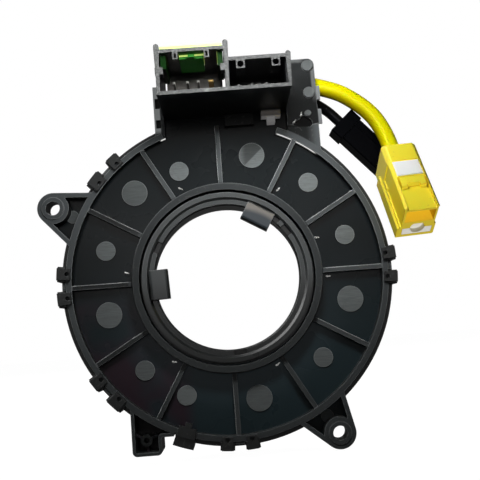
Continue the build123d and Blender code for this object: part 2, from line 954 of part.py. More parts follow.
def lead_pocket_outline():
    """Ragged opening beside the small pin, across the cover's foot and the web under it."""
    return Polygon(*[(neck_right - inset, neck_top - drop) for inset, drop in lead_pocket])


def lead_cover():
    """Plate over the lead exit, held by two staked pins and a small locating pin."""
    lug_foot = lead_web_top + seat_gap
    outline = neck_outline() & bar(block_right + seat_gap, neck_right, lug_foot, lead_plate_top)
    back = cover_recess - cover_thickness
    body = slab(outline - lead_pocket_outline(), back, cover_recess)
    inside = neck_right - neck_wall
    tab_bottom = lead_plate_top - tab_drop
    body += block(inside, neck_right + tab_reach, back, cover_recess, tab_bottom, tab_bottom + tab_height)
    x1, z1 = neck_right + lug_block_reach, lug_foot + lug_block_height
    body += block(inside, x1, back, cover_recess, lug_foot, z1)
    for x, z, radius in stake_places():
        body += slab(disc_at(x, z, radius * stake_head_ratio), back - stake_head, cover_recess)
        body += slab(disc_at(x, z, radius), 0, panel_front)
    return body


# Leads and plugs

def by_the_neck(place):
    """A place measured from the neck's right side and its top."""
    x, y, z = place
    return (neck_right + x, y, neck_top + z)


def sleeve_route():
    """Centre line of the yellow sleeve, from the neck wall down to the plug."""
    y, z = sleeve_exit
    route = [(sleeve_start, y, neck_top + z)]
    route += [by_the_neck(place) for place in sleeve_places]
    return route + [plug_point(sleeve_seat + sleeve_last_run), plug_point(sleeve_seat)]


def black_route():
    """Centre line of the short black sleeve, which meets its plug square to its end."""
    turn = math.radians(black_plug_angle)
    x, y, z = by_the_neck(black_plug_place)
    run = black_last_run
    exit_y, exit_z = black_exit
    return [
        (sleeve_start, exit_y, neck_top + exit_z),
        (x - run * math.cos(turn), y, z - run * math.sin(turn)),
        (x, y, z),
    ]


def tube_along(points, radius, name):
    """Round tube on straight runs joined by arcs as large as the runs allow."""
    vectors = [Vector(*point) for point in points]
    runs = [b - a for a, b in zip(vectors, vectors[1:])]
    radii = []
    for before, after in zip(runs, runs[1:]):
        half = math.radians(before.get_angle(after)) / 2
        radii.append(0.45 * min(before.length, after.length) / math.tan(half))
    path = FilletPolyline(*vectors, radius=radii)
    section = Plane(origin=vectors[0], z_dir=runs[0]) * Circle(radius)
    tube = sweep(section, path=path)
    expected = math.pi * radius**2 * path.length
    print(name, "length %.2f radii %s" % (path.length, [round(r, 1) for r in radii]), end=" ")
    print("volume share %.4f" % (tube.volume / expected))
    return tube


def plug_frame():
    return Pos(*by_the_neck(plug_place)) * Rot(plug_lean, plug_swing, plug_turn)


def plug_point(height):
    """A point on the sleeve's line in the plug, at a height above the plug's mouth."""
    return tuple((plug_frame() * Pos(0, sleeve_entry, height)).position)


def plug_box(half_width, y0, y1, z0, z1):
    """A box in the plug's own frame, centred on its width."""
    return Pos(0, (y0 + y1) / 2, (z0 + z1) / 2) * Box(2 * half_width, y1 - y0, z1 - z0)


def plug_side_groove(side):
    """Shallow panel in a side wall, from the mouth up, with a small nub at its upper back corner."""
    x = side * plug_width / 2
    y0, y1 = side_panel_front, side_panel_front + side_panel_depth
    panel = Pos(x, (y0 + y1) / 2, (side_panel_top - over) / 2) * Box(
        2 * groove_depth, y1 - y0, side_panel_top + over
    )
    nub_z = side_panel_top - side_nub_length / 2
    nub = Pos(x, y1, nub_z) * Box(2 * groove_depth, 2 * side_nub_width, side_nub_length)
    return panel - nub


def yellow_connector():
    """Plug housing with a hood, a window for the lock, a latch lever, a tray and its mouth."""
    half = plug_width / 2
    inner = half - plug_wall
    body = plug_box(half, 0, plug_depth, 0, plug_length)
    top_sides = body.edges().filter_by(Axis.Y).sort_by(Axis.Z)[-2:]
    body = fillet(top_sides, plug_shoulder)
    top_front = body.edges().filter_by(Axis.X).sort_by(Axis.Z)[-2:].sort_by(Axis.Y)[0]
    body = chamfer(top_front, plug_hood_bevel)
    body = fillet(body.edges().filter_by(Axis.Z), plug_edge)
    step_depth = plug_depth - plug_step_front
    step = Box(2 * plug_step_reach, step_depth, plug_step_top)
    body += Pos(-half, plug_depth - step_depth / 2, plug_step_top / 2) * step
    for side in (-1, 1):
        body -= plug_side_groove(side)
    window_foot = plug_length - window_from_top - window_height
    body -= plug_box(window_width / 2, -over, window_depth, window_foot, window_foot + window_height)
    body -= plug_box(inner, -over, tray_depth, -over, window_foot - window_sill)
    lever_foot, lever_top = window_foot - lever_height, window_foot - window_sill / 2
    body += plug_box(lever_width / 2, lever_recess, tray_depth + lever_recess, lever_foot, lever_top)
    body -= plug_box(lever_notch / 2, -over, tray_depth, lever_foot, lever_foot + lever_notch / 4)
    mouth_y = tray_depth + tray_floor
    body -= plug_box(inner, mouth_y, mouth_y + mouth_height, -over, mouth_depth)
    insert_y = plug_depth - plug_wall - insert_height
    body -= plug_box(insert_width / 2, insert_y, insert_y + insert_height, -over, insert_depth)
    body -= Pos(0, insert_y, 0) * Cylinder(bump_radius, 2 * bump_depth)
    body -= Pos(0, sleeve_entry, plug_length) * Cylinder(
        sleeve_radius + lead_hole_clearance, 2 * (plug_length - sleeve_seat)
    )
    return plug_frame() * body


def yellow_connector_lock():
    """White plate in the front window, its edges bevelled."""
    foot = plug_length - window_from_top - window_height + lock_gap
    top = plug_length - window_from_top - lock_gap
    plate = plug_box(window_width / 2 - lock_gap, 0, window_depth, foot, top)
    return plug_frame() * chamfer(plate.faces().sort_by(Axis.Y)[0].edges(), plug_edge / 2)


def yellow_connector_insert():
    """White insert under the mouth, with a round bite that clears the keying bump."""
    y0 = plug_depth - plug_wall - insert_height + lock_gap
    y1 = plug_depth - plug_wall - lock_gap
    body = plug_box(insert_width / 2 - lock_gap, y0, y1, 0, insert_depth)
    body -= Pos(0, y0 - lock_gap, 0) * Cylinder(bump_radius, 2 * bump_depth)
    return plug_frame() * body


def blade_row(count, pitch, width, thickness):
    """Cross sections of contact blades side by side, on X."""
    first = -pitch * (count - 1) / 2
    return [Pos(first + pitch * index, 0, 0) * Rectangle(width, thickness) for index in range(count)]


def yellow_connector_terminals():
    y = tray_depth + tray_floor + mouth_height / 2
    row = blade_row(blade_count, blade_pitch, plug_blade_width, plug_blade_thickness)
    length = mouth_depth - blade_recess
    blades = [Pos(0, y, blade_recess) * extrude(section, amount=length) for section in row]
    return plug_frame() * solids_of(*blades)


def black_plug_frame():
    """Frame of the black plug: X along its length from the cable end, Z across its width."""
    return Pos(*by_the_neck(black_plug_place)) * Rot(0, -black_plug_angle, 0)


def black_connector():
    """Plain plug housing with a collar at its cable end, a key ridge and an open mouth."""
    length, width, depth = black_plug_length, black_plug_width, black_plug_depth
    body = Pos(length / 2, 0, 0) * Box(length, depth, width)
    collar = Pos(black_collar_length / 2, 0, 0) * Box(
        black_collar_length, depth + black_collar_rise, width + 2 * black_collar_rise
    )
    body = fillet(body.edges().filter_by(Axis.X), plug_edge)
    body += fillet(collar.edges().filter_by(Axis.X), plug_edge)
    ridge_length = length - black_collar_length
    body += Pos(length / 2, -depth / 2, width / 4) * Box(ridge_length, black_ridge, black_ridge)
    mouth = Pos(length + (over - black_mouth_depth) / 2, 0, 0) * Box(
        black_mouth_depth + over, black_mouth_height, width - 2 * plug_wall
    )
    return black_plug_frame() * (body - mouth)


def black_connector_terminals():
    row = blade_row(blade_count, black_blade_pitch, plug_blade_width, plug_blade_thickness)
    floor = Pos(black_plug_length - black_mouth_depth, 0, 0) * Rot(0, 90, 0)
    length = black_mouth_depth - black_blade_recess
    blades = [floor * extrude(section, amount=length) for section in row]
    return black_plug_frame() * solids_of(*blades)


# Ribbon and sheets

def flat_cable():
    """Ribbon wound as half circles, both of its ends on top, each half wider by half a pitch."""
    pitch = (ribbon_outer - ribbon_inner) / ribbon_turns
    half = ribbon_thickness / 2
    outer, inner = [], []
    for index in range(2 * ribbon_turns):
        left = index % 2 == 0
        centre = (0, -pitch / 4 if left else pitch / 4)
        radius = ribbon_inner + pitch * (2 * index + 1) / 4
        start = 90 if left else -90
        outer.append(CenterArc(centre, radius + half, start, 180))
        inner.append(CenterArc(centre, radius - half, start, 180))
    ends = [Line(outer[0] @ 0, inner[0] @ 0), Line(outer[-1] @ 1, inner[-1] @ 1)]
    profile = make_face(Wire(outer + inner + ends))
    return slab(profile, ribbon_back, ribbon_end)


def rear_glide_sheet():
    return ring(tube_radius + sheet_margin, rim_bore - sheet_gap, panel_front, panel_front + sheet_thickness)


def front_glide_sheet():
    """Ring on the back of the rotor disc, open where the terminal bar crosses it."""
    sheet = ring(ribbon_inner, case_mouth_radius - sheet_margin, disc_back - sheet_thickness, disc_back)
    half = rotor_bar_width / 2 + sheet_gap
    top = wheel_socket_z + rotor_bar_rise + sheet_gap
    return sheet - block(-half, half, 0, disc_front, 0, top)


# Rotor

def wheel_pins():
    """Centre and width of every pin of the wheel-side socket."""
    first = -wheel_pin_pitch * (wheel_pin_count - 1) / 2
    return [(first + wheel_pin_pitch * index, wheel_socket_z, pin_size) for index in range(wheel_pin_count)]


def rotor_hub():
    """Hub tube, wheel-side disc, its socket and two drive bosses, moulded as one."""
    body = ring(tube_bore, tube_radius, ring_front, disc_front)
    body += ring(tube_bore, disc_radius, disc_back, disc_front)
    body += ring(disc_radius - disc_edge, disc_radius, disc_front, disc_front + disc_rim)
    body += ring(tube_bore, tube_radius, disc_front, disc_front + hub_rim)
    half_x = wheel_socket_width / 2
    half_z = wheel_socket_height / 2
    wall = wheel_socket_wall
    z = wheel_socket_z
    y1 = disc_front + wheel_socket_depth
    body += block(-half_x, half_x, disc_back, y1, z - half_z, z + half_z)
    body -= block(wall - half_x, half_x - wall, disc_front, y1 + over, z - half_z + wall, z + half_z - wall)
    for angle in drive_boss_angles:
        boss = disc_at(*polar(drive_boss_circle, angle), drive_boss_radius)
        body += slab(boss, disc_back, disc_front + drive_boss_height)
    for pin in wheel_pins():
        body -= pin_bar(*pin, disc_back - over, disc_front + over, pin_clearance)
    return body


def hub_ring():
    """Ring snapped on the back end of the tube: bevelled land, notched lip, two drive tabs."""
    body = ring(ring_land_bore, tube_radius, -ring_back, ring_front)
    body = chamfer(body.faces().sort_by(Axis.Y)[0].edges().sort_by(SortBy.RADIUS)[0], ring_chamfer)
    body += ring(ring_bore + ring_lead_in, tube_bore, ring_lip_back, ring_front)
    body += ring(ring_bore, tube_bore, tab_front, ring_front)
    body += ring(tube_bore, ring_flange_radius, ring_front - ring_flange_thickness, ring_front)
    for angle, span in zip(notch_angles, notch_spans):
        cut = arc_piece(ring_bore, ring_bore + notch_width, angle, span)
        body -= slab(cut, ring_lip_back - over, ring_lip_back + notch_depth)
    leg_outer = tube_bore - ring_fit
    for index in range(ring_leg_count):
        angle = 360 * index / ring_leg_count + ring_leg_turn
        leg = arc_piece(leg_outer - ring_leg_wall, leg_outer, angle, ring_leg_span)
        body += slab(leg, ring_front - ring_leg_wall, ring_front + ring_leg_length)
    for angle in tab_angles:
        body += drive_tab(angle)
    return body


def drive_tab(angle):
    """Tongue that reaches into the bore, crowned on the column side."""
    back = -ring_back - tab_crown
    shape = bar(tab_inner_radius, tab_outer_radius, -tab_width / 2, tab_width / 2)
    tongue = slab(shape, back, tab_front)
    tongue = fillet(tongue.faces().sort_by(Axis.Y)[0].edges().filter_by(Axis.Z), tab_crown)
    root = bar(tab_outer_radius - ring_leg_wall, tab_outer_radius, -tab_width / 2, tab_width / 2)
    tongue += slab(root, -ring_back, ring_lip_back + ring_chamfer)
    return Rot(0, -angle, 0) * tongue


def rotor_terminal_carrier():
    """Block on the hub tube at the ribbon's inner end, with a bar to the socket pins."""
    inner, outer = tube_radius + rotor_carrier_seat, ribbon_inner - ribbon_thickness / 2 - sheet_gap
    body = slab(arc_piece(inner, outer, 90, rotor_carrier_span), ribbon_back + sheet_gap, disc_back)
    stop = bar(ribbon_seat, ribbon_seat + rotor_stop_width, inner, ribbon_inner + ribbon_thickness)
    body += slab(stop, ribbon_back + sheet_gap, disc_back)
    half = rotor_bar_width / 2
    bar_back = ribbon_end + sheet_gap
    body += block(-half, half, bar_back, disc_back, outer - rotor_bar_rise, wheel_socket_z + rotor_bar_rise)
    for pin in wheel_pins():
        body -= pin_bar(*pin, disc_back - rotor_pin_seat, disc_front)
    return body


def rotor_socket_pins():
    return pointed_pins(wheel_pins(), disc_back - rotor_pin_seat, disc_front + wheel_pin_length, -1)


nodes = {
    "back_housing": back_housing,
    "front_case": front_case,
    "socket_block": socket_block,
    "green_lock_shell": green_lock_shell,
    "left_socket_pins": left_socket_pins,
    "right_socket_pins": right_socket_pins,
    "stator_terminal_carrier": stator_terminal_carrier,
    "lead_cover": lead_cover,
    "yellow_lead": lambda: tube_along(sleeve_route(), sleeve_radius, "yellow_lead"),
    "yellow_connector": yellow_connector,
    "yellow_connector_lock": yellow_connector_lock,
    "yellow_connector_insert": yellow_connector_insert,
    "yellow_connector_terminals": yellow_connector_terminals,
    "black_lead": lambda: tube_along(black_route(), black_sleeve_radius, "black_lead"),
    "black_connector": black_connector,
    "black_connector_terminals": black_connector_terminals,
    "flat_cable": flat_cable,
    "rear_glide_sheet": rear_glide_sheet,
    "front_glide_sheet": front_glide_sheet,
    "rotor_hub": rotor_hub,
    "hub_ring": hub_ring,
    "rotor_terminal_carrier": rotor_terminal_carrier,
    "rotor_socket_pins": rotor_socket_pins,
}

os.makedirs("parts", exist_ok=True)
for node, make in nodes.items():
    shape = make()
    export_step(shape, "parts/" + node + ".step")
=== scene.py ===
import math
import bmesh
import bpy
from mathutils import Matrix, Vector


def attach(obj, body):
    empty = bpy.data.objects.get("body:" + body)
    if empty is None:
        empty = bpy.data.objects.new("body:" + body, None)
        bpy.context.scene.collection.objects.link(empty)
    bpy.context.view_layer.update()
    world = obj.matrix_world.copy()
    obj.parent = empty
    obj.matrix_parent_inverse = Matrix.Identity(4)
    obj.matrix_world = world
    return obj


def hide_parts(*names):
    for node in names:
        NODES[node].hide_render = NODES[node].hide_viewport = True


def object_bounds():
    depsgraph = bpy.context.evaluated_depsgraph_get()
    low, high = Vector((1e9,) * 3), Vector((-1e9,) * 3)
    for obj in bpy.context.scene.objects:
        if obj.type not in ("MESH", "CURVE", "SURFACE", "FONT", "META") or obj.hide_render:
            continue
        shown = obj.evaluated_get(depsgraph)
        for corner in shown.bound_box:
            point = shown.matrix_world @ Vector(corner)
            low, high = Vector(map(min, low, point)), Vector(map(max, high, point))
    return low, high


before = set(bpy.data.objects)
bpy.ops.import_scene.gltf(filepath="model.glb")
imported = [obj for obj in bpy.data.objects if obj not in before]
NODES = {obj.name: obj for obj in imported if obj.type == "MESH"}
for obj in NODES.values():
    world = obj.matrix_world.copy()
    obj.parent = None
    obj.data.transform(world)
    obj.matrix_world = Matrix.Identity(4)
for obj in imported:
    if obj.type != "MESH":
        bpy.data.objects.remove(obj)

bl_info = {
    "name": "Steering Clock Spring",
    "version": (1, 0, 0),
    "blender": (4, 5, 0),
    "location": "View3D > Sidebar > Clock Spring",
    "description": "Dresses the clock spring's frame with moulded, tinned and sleeved finishes",
    "category": "Object",
}

CAD_BOX = [list(corner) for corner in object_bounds()]


# Pieces

# The yellow sleeve's line: its route's points, in metres
SLEEVE_ROUTE = (
    (0.0329, 0.0070, 0.0634),
    (0.0404, 0.0064, 0.0612),
    (0.0466, 0.0060, 0.0572),
    (0.0525, 0.0056, 0.0518),
    (0.0559, 0.0045, 0.0448),
    (0.05747, 0.00266, 0.03758),
    (0.05805, -0.00130, 0.03112),
)
SLEEVE_ROUNDNESS = 10
SLEEVE_STEPS = 16

# Torn nibs, on the floor round the collar and beside the cover's small pin: each one's place in
# metres, and the tear's turn in degrees
GATES = (
    (-0.0132, 0.0027, 0.0303, 40),
    (0.0188, 0.0027, 0.0279, -30),
    (0.0142, 0.0027, -0.0289, -20),
    (-0.0188, 0.0027, -0.0258, 25),
    (-0.0324, 0.0027, 0.0039, 35),
    (0.0328, 0.0027, -0.0019, 15),
    (0.0302, 0.0027, 0.0110, 20),
    (0.0281, 0.0001, 0.0519, -60),
    (0.0258, 0.0001, 0.0496, -35),
)

# A nib is two lumps: the side each lies on and its radius, how far they lie apart along and
# across the tear in radii, and how they are stretched
NIB_LUMPS = ((-1, 0.00036), (1, 0.00026))
NIB_SPREAD = (1.2, 0.4)
NIB_STRETCH = (1.5, 1.2, 0.8, 1)


# Studio

CAMERA_PLACE = (0.001187, -0.23, -0.017066)
CAMERA_TURN = (95.6968, 4.2604, -0.3981)
CAMERA_SHIFT = 0.0375
SENSOR_WIDTH = 36
NEAREST_SEEN = 0.01

# Square lamps: name, place, aim, size in metres, power in watts, spread in degrees, and whether
# they show in reflections
LAMPS = (
    ("key_lamp", (0.012, -0.077, 0.08), (0.017, 0, 0.045), 0.03, 0.078, 138, False),
    ("side_lamp", (-0.35, -0.1, 0.25), (0, 0, 0), 0.2, 0.12, 180, True),
    ("back_lamp", (-0.2, 0.45, 0.4), (0, 0, 0), 0.4, 3.0, 180, True),
)

# The card that only reflections show: its place, its two sides and its power
CARD_PLACE = (0.0, -0.5, 0.095)
CARD_SIDES = (0.34, 0.13)
CARD_POWER = 0.28

# What the world gives to surfaces and to reflections, and the bright patch that reflections show:
# its light, how far left and up it lies, and its soft edge
SOFT_LIGHT = 0.022
REFLECTED_LIGHT = 0.06
PATCH_LIGHT = 7.0
PATCH_LEFT = 0.6
PATCH_UP = 0.8
PATCH_EDGE = (0.7, 0.95)

# The floor: its half side, the colours that the lamps light, the light of its own that the camera
# and reflections see, and the share of that light in what the camera sees
FLOOR_HALF_SIDE = 1.5
FLOOR_GREY = (0.2, 0.2, 0.2, 1)
FLOOR_WHITE = (0.9, 0.9, 0.9, 1)
FLOOR_GLOW = 1.1
FLOOR_SHEEN = 0.08
FLOOR_GLOW_SHARE = 0.9
WHITE = (1, 1, 1, 1)


# Masks

# Places are in metres, in the frame's axes: y is the depth behind the back rim, and r is the
# distance from the hub's axis. Two numbers are where a mask starts and where it is full, so it
# rises or falls with their order. Three are a band's two sides and how soft they are.

# How far a face is turned to the negative side of an axis, by its normal
SQUARELY = (-0.7, -0.95)
INWARD = (-0.7, -0.9)
MOSTLY = (-0.6, -0.9)
SLANTING = (-0.6, -0.8)
STEEPLY = (-0.5, -0.9)
DOWNWARD = (-0.3, -0.8)

# Back housing: its faces by depth, then its parts
FLOOR_DEPTH = (0.0026, 0.0027)
PAD_DEPTH = (0.00238, 0.00252, 0.00004)
EAR_PAD_DEPTH = (0.0040, 0.0041, 0.00004)
RIDGE_DEPTH = (0.0005, 0.0003)
COLLAR_EDGE = (0.0312, 0.0308)
# Places that take painted light and shade: the lower half, with painted shade on its ridges and
# pads and painted light on its floor and walls; the left edge, painted lighter; the floor near the
# collar, which takes painted light in the lower half; and the ribs on the left, made darker
LOWER_HALF = (0.012, -0.040)
LEFT_EDGE = (-0.030, -0.050)
NEAR_COLLAR = (0.044, 0.034)
LEFT_RIBS = (("r", 0.0320, 0.0495, 0.0004), ("x", -0.015, -0.035))
NECK_STRIP = (("x", -0.0180, -0.0184), ("z", 0.048, 0.050), ("y", 0.0009, 0.0006))

# The web under the lead cover: its outline, the part left black as painted shadow under the cover,
# and the depth of its pocket, which is painted black as shade
WEB = (("r", 0.0519, 0.0523), ("x", 0.018, 0.020), ("z", 0.030, 0.034))
WEB_SHADE = (0.0335, 0.0290)
WEB_POCKET = (0.0005, 0.0008)

# Painted highlights: bright slivers on the upper rim's inner wall, in three arcs along x
SLIVER_WALL = (("z", 0.036, 0.037), ("r", 0.046, 0.0507, 0.0003))
SLIVER_ARCS = ((0.0200, 0.0238, 0.0008), (0.0258, 0.0310, 0.0012), (-0.0183, -0.0165, 0.0005))
SLIVER_DEPTH = (0.0006, 0.0017, 0.0003)

# Painted highlights on the rib edges that lean to the upper left
GLEAM_WAY = (-0.5, 0.0, 0.86)
GLEAM_LEAN = (0.12, 0.28)
RIB_TOPS = (("r", 0.0320, 0.0495, 0.0004), ("y", 0.0006, 0.0004))

# The shaded half of the pad nearest the latch, above a slanting line, and two pads whose tone
# differs from the others'
SPLIT_SLOPE = 0.9
SPLIT_LINE = (0.0288, 0.0294)
SPLIT_BOX = (("x", 0.0062, 0.0092), ("x", 0.0152, 0.0148), ("z", 0.034, 0.035))
DIM_PAD = (("x", -0.021, -0.023), ("z", 0.019, 0.021))
BRIGHT_PAD = (("x", -0.021, -0.010, 0.001), ("z", -0.030, -0.032))

# A painted brownish reflection on the lower left floor, and the clouds that it shows in
PAINTED_REFLECTION_SPOT = (("x", -0.05, -0.018, 0.006), ("z", -0.002, -0.012))
PAINTED_REFLECTION_CLOUDS = (0.35, 0.6)

# Hub and ring: the lands and lip on the upper half, which take painted light, the notches, painted
# black as shade, and the drive tabs, the right one with a painted sheen
LAND_DEPTH = (-0.0012, -0.0016)
LIP_DEPTH = (-0.00090, -0.00105)
PAINTED_LIGHT_HALF = (-0.008, 0.002)
RING_NOTCH = (("y", 0.00005, 0.00035, 0.00005), ("r", 0.0253, 0.0252), ("r", 0.0230, 0.0231))
DRIVE_TABS = (("y", -0.0028, -0.0030), ("r", 0.0252, 0.0248))
RIGHT_TAB = (0.0, 0.004)
SHEEN_SLOPE = 0.1
SHEEN_EDGE = (0.0206, 0.0226)

# Lead cover: the pins' heads, the tabs, the slope and rise of the painted light on the upper left,
# and the crests
HEAD_DEPTH = (-0.0004, -0.0006)
COVER_TABS = (0.0335, 0.0338)
COVER_SLOPE = 0.6
COVER_UPPER = (0.036, 0.052)
TOP_CREST = (("z", 0.0688, 0.0700), ("x", 0.0305, 0.0290))
SIDE_CREST = (("x", 0.0320, 0.0326), ("z", 0.055, 0.060))

# Socket block: the mouths' rim, their far wall and the latch, both painted pale as light, and
# where the rim darkens to the right
MOUTH_DEPTH = (-0.0226, -0.0229)
BACK_WALL_DEPTH = (-0.0032, -0.0028, 0.0001)
LEFT_SOCKET = (0.003, 0.002)
LATCH = (("z", 0.0535, 0.0530), ("y", -0.006, -0.005))
LATCH_STEM = (0.0516, 0.0512)
MOUTH_MIDDLE = (-0.013, -0.006)
MOUTH_RIGHT = (0.002, 0.010)

# Green lining: the lid, its slots and the tongue, which take painted light
LID = (0.0674, 0.0677)
LID_SLOTS = (
    ("y", -0.0200, -0.0192, 0.0001),
    ("x", -0.0100, -0.0020, 0.0002),
    ("z", 0.0663, 0.0667, 0.00015),
)
TONGUE = (("x", -0.0115, -0.0005, 0.0003), ("z", 0.0674, 0.0672))

# Yellow plug: the slot in its mouth, which takes painted light, measured across the plug's own
# slant, then the face, ledge and corner of its left side, which take painted shade
SLOT_SLANT = (0.522, 0.853)
SLOT_SPAN = (0.0165, 0.0174, 0.0002)
SLOT_START = (0.0544, 0.0548)
SIDE_FACE = (0.0530, 0.0538)
SIDE_LEDGE = (0.0538, 0.0530)
LEFT_CORNER = (0.0536, 0.0530)

# Where the brass blade starts beside the left socket's pins
BLADE_START = (-0.0020, -0.0018)

# How far a rounded edge's normal bends from the face's, as their dot product, and how finely
# Blender rounds it
EDGE_BEND = (0.999, 0.97)
EDGE_SAMPLES = 6


# Shader maths

class Value:
    """One value in a finish. Sums on it add Math nodes to the finish's tree."""

    def __init__(self, finish, socket):
        self.finish = finish
        self.socket = socket

    def maths(self, operation, *terms):
        sockets = dict(enumerate(terms))
        return self.finish.node("ShaderNodeMath", {"operation": operation}, sockets)[0]

    def __add__(self, other):
        return self.maths("ADD", self, other)

    def __sub__(self, other):
        return self.maths("SUBTRACT", self, other)

    def __rsub__(self, other):
        return self.maths("SUBTRACT", other, self)

    def __mul__(self, other):
        return self.maths("MULTIPLY", self, other)

    def __truediv__(self, other):
        return self.maths("DIVIDE", self, other)

    def __pow__(self, other):
        return self.maths("POWER", self, other)

    __radd__ = __add__
    __rmul__ = __mul__


class Made:
    """The outputs of a node, by name or place."""

    def __init__(self, finish, node):
        self.finish = finish
        self.node = node

    def __getitem__(self, name):
        return Value(self.finish, self.node.outputs[name])


class Finish:
    """A node tree for a material or a world, built from values and one node maker."""

    def __init__(self, owner):
        self.owner = owner
        owner.use_nodes = True
        self.tree = owner.node_tree
        self.tree.nodes.clear()

    def node(self, kind, settings=None, sockets=None):
        """Adds a node: settings first, then each socket's value or link, by its name or place."""
        made = self.tree.nodes.new(kind)
        for name, value in (settings or {}).items():
            setattr(made, name, value)
        for name, value in (sockets or {}).items():
            if isinstance(value, Value):
                self.tree.links.new(value.socket, made.inputs[name])
            else:
                made.inputs[name].default_value = value
        return Made(self, made)

    def rise(self, value, low, high):
        """0 below low, 1 above high, smooth between. With low above high it falls instead."""
        return self.node(
            "ShaderNodeMapRange",
            {"interpolation_type": "SMOOTHSTEP"},
            {"Value": value, "From Min": low, "From Max": high},
        )[0]

    def band(self, value, low, high, edge):
        """1 from low to high, and 0 past a soft edge on either side."""
        return self.rise(value, low - edge, low) * self.rise(value, high + edge, high)

    def patch(self, axes, limits, share=None):
        """The product of a patch's masks, one for each axis and its places, and of share."""
        for axis, *places in limits:
            mask = (self.rise if len(places) == 2 else self.band)(axes[axis], *places)
            share = mask if share is None else share * mask
        return share

    def blend(self, share, first, second):
        """A colour between first and second."""
        made = self.node("ShaderNodeMix", {"data_type": "RGBA"}, {"Factor": share})
        for place, colour in ((6, first), (7, second)):
            if isinstance(colour, Value):
                self.tree.links.new(colour.socket, made.node.inputs[place])
            else:
                made.node.inputs[place].default_value = (*colour[:3], 1)
        return made[2]

    def where(self):
        """The object's own coordinates, in metres."""
        return self.node("ShaderNodeTexCoord")["Object"]

    def along(self, whole):
        """A vector's three parts."""
        parts = self.node("ShaderNodeSeparateXYZ", None, {0: whole})
        return parts["X"], parts["Y"], parts["Z"]

    def facing(self):
        """The surface's normal on each axis."""
        return self.along(self.node("ShaderNodeNewGeometry")["Normal"])

    def noise(self, where, size, detail=2.0, roughness=0.5):
        """Even noise whose grain is about that size, in metres."""
        return self.node(
            "ShaderNodeTexNoise",
            None,
            {"Vector": where, "Scale": 1 / size, "Detail": detail, "Roughness": roughness},
        )["Fac"]

    def specks(self, where, size, detail, low, high):
        """Small spots where the noise tops that level."""
        return self.rise(self.noise(where, size, detail), low, high)

    def stretched(self, where, scale=(1, 1, 1), turn=0):
        """The coordinates scaled on each axis, and turned about y by that many degrees."""
        turns = (0, math.radians(turn), 0)
        sockets = {"Vector": where, "Rotation": turns, "Scale": scale}
        return self.node("ShaderNodeMapping", None, sockets)[0]

    def rounded(self, radius):
        """The normal with every edge rounded off by that radius."""
        return self.node("ShaderNodeBevel", {"samples": EDGE_SAMPLES}, {"Radius": radius})[0]

    def lean(self, normal, way):
        """How far a normal points that way."""
        dot = {"operation": "DOT_PRODUCT"}
        return self.node("ShaderNodeVectorMath", dot, {0: normal, 1: way})["Value"]

    def edges(self, radius):
        """1 along sharp edges, 0 on the open faces between them."""
        face = self.node("ShaderNodeNewGeometry")["Normal"]
        return self.rise(self.lean(face, self.rounded(radius)), *EDGE_BEND)

    def bump(self, height, depth, strength=1.0, normal=None):
        """A normal pushed about by that height, on another normal where one is given."""
        sockets = {"Height": height, "Distance": depth, "Strength": strength}
        if normal is not None:
            sockets["Normal"] = normal
        return self.node("ShaderNodeBump", None, sockets)[0]

    def surface(self, **sockets):
        """Ends the tree in a Principled shader. _ stands for the space in a socket's name."""
        named = {key.replace("_", " "): value for key, value in sockets.items()}
        shader = self.node("ShaderNodeBsdfPrincipled", None, named)
        self.node("ShaderNodeOutputMaterial", None, {"Surface": shader[0]})
        return self.owner


def material(name):
    return Finish(bpy.data.materials.new(name))


def paint(finish, *names):
    """Puts a finish on CAD nodes, by name."""
    for name in names:
        node = NODES[name]
        if not node.material_slots:
            node.data.materials.append(finish)
        for slot in node.material_slots:
            slot.material = finish


def straight_on(ray):
    """1 where the camera sees the background, on its own or through something clear."""
    return ray["Is Camera Ray"] + ray["Is Transmission Ray"]


def times(factor, colour):
    """A colour made that many times as bright."""
    return tuple(factor * part for part in colour[:3])


# Finishes

# In a finish's sums, a bare number is a share of a mix or of a mask's strength. Noise is given the
# size of its grain in metres, and its detail.

# The moulded plastics' grain, its depth, and how far their edges are rounded, in metres
GRAIN = 0.0004
GRAIN_DEPTH = 0.00003
EDGE_ROUND = 0.00022

# Tones that the finishes mix with the colours in the settings. A LIFT or LIGHT is painted light,
# given off by its place: SLIVER_LIGHT is a painted reflection of the studio, GREEN_LIGHT is
# painted light that comes through thin green plastic, and the others are painted light on faces
# that lie in shade and on faces that look downward.
NO_GLOW = (0.0, 0.0, 0.0)
DUST = (0.09, 0.09, 0.085)
SHADE_PAINTED_BLACK = (0.001, 0.001, 0.001)
PAINTED_GLINT_GREY = (0.62, 0.64, 0.64)
FLOOR_LIFT = (0.0050, 0.0062, 0.0070)
STRIP_LIFT = (0.18, 0.188, 0.188)
SLIVER_LIGHT = (0.75, 0.76, 0.74)
HUB_PAINTED_LIGHT = (0.050, 0.056, 0.057)
HUB_PAINTED_EDGE_GLINT = (0.22, 0.23, 0.23)
TAB_COOL = (0.028, 0.036, 0.043)
TAB_WARM = (0.170, 0.158, 0.142)
CREST_GREY = (0.115, 0.12, 0.12)
COVER_EDGE = (0.20, 0.21, 0.21)
COVER_TAB_GREY = (0.20, 0.21, 0.215)
BACK_WALL_PAINTED_GREY = (0.125, 0.118, 0.108)
LATCH_PAINTED_PALE = (0.60, 0.56, 0.53)
LATCH_LIFT = (0.016, 0.014, 0.013)
STEM_LIFT = (0.10, 0.10, 0.10)
MOUTH_PALE = (0.5, 0.51, 0.5)
LID_GREEN = (0.58, 0.80, 0.24)
SLOT_GREEN = (0.62, 0.80, 0.22)
TONGUE_LIFT = (0.0010, 0.0130, 0.0008)
GREEN_LIGHT = (0.70, 0.88, 0.24)
SHELL_CLOUD = (0.84, 0.70, 0.03)
SHELL_SPECK = (0.42, 0.33, 0.06)
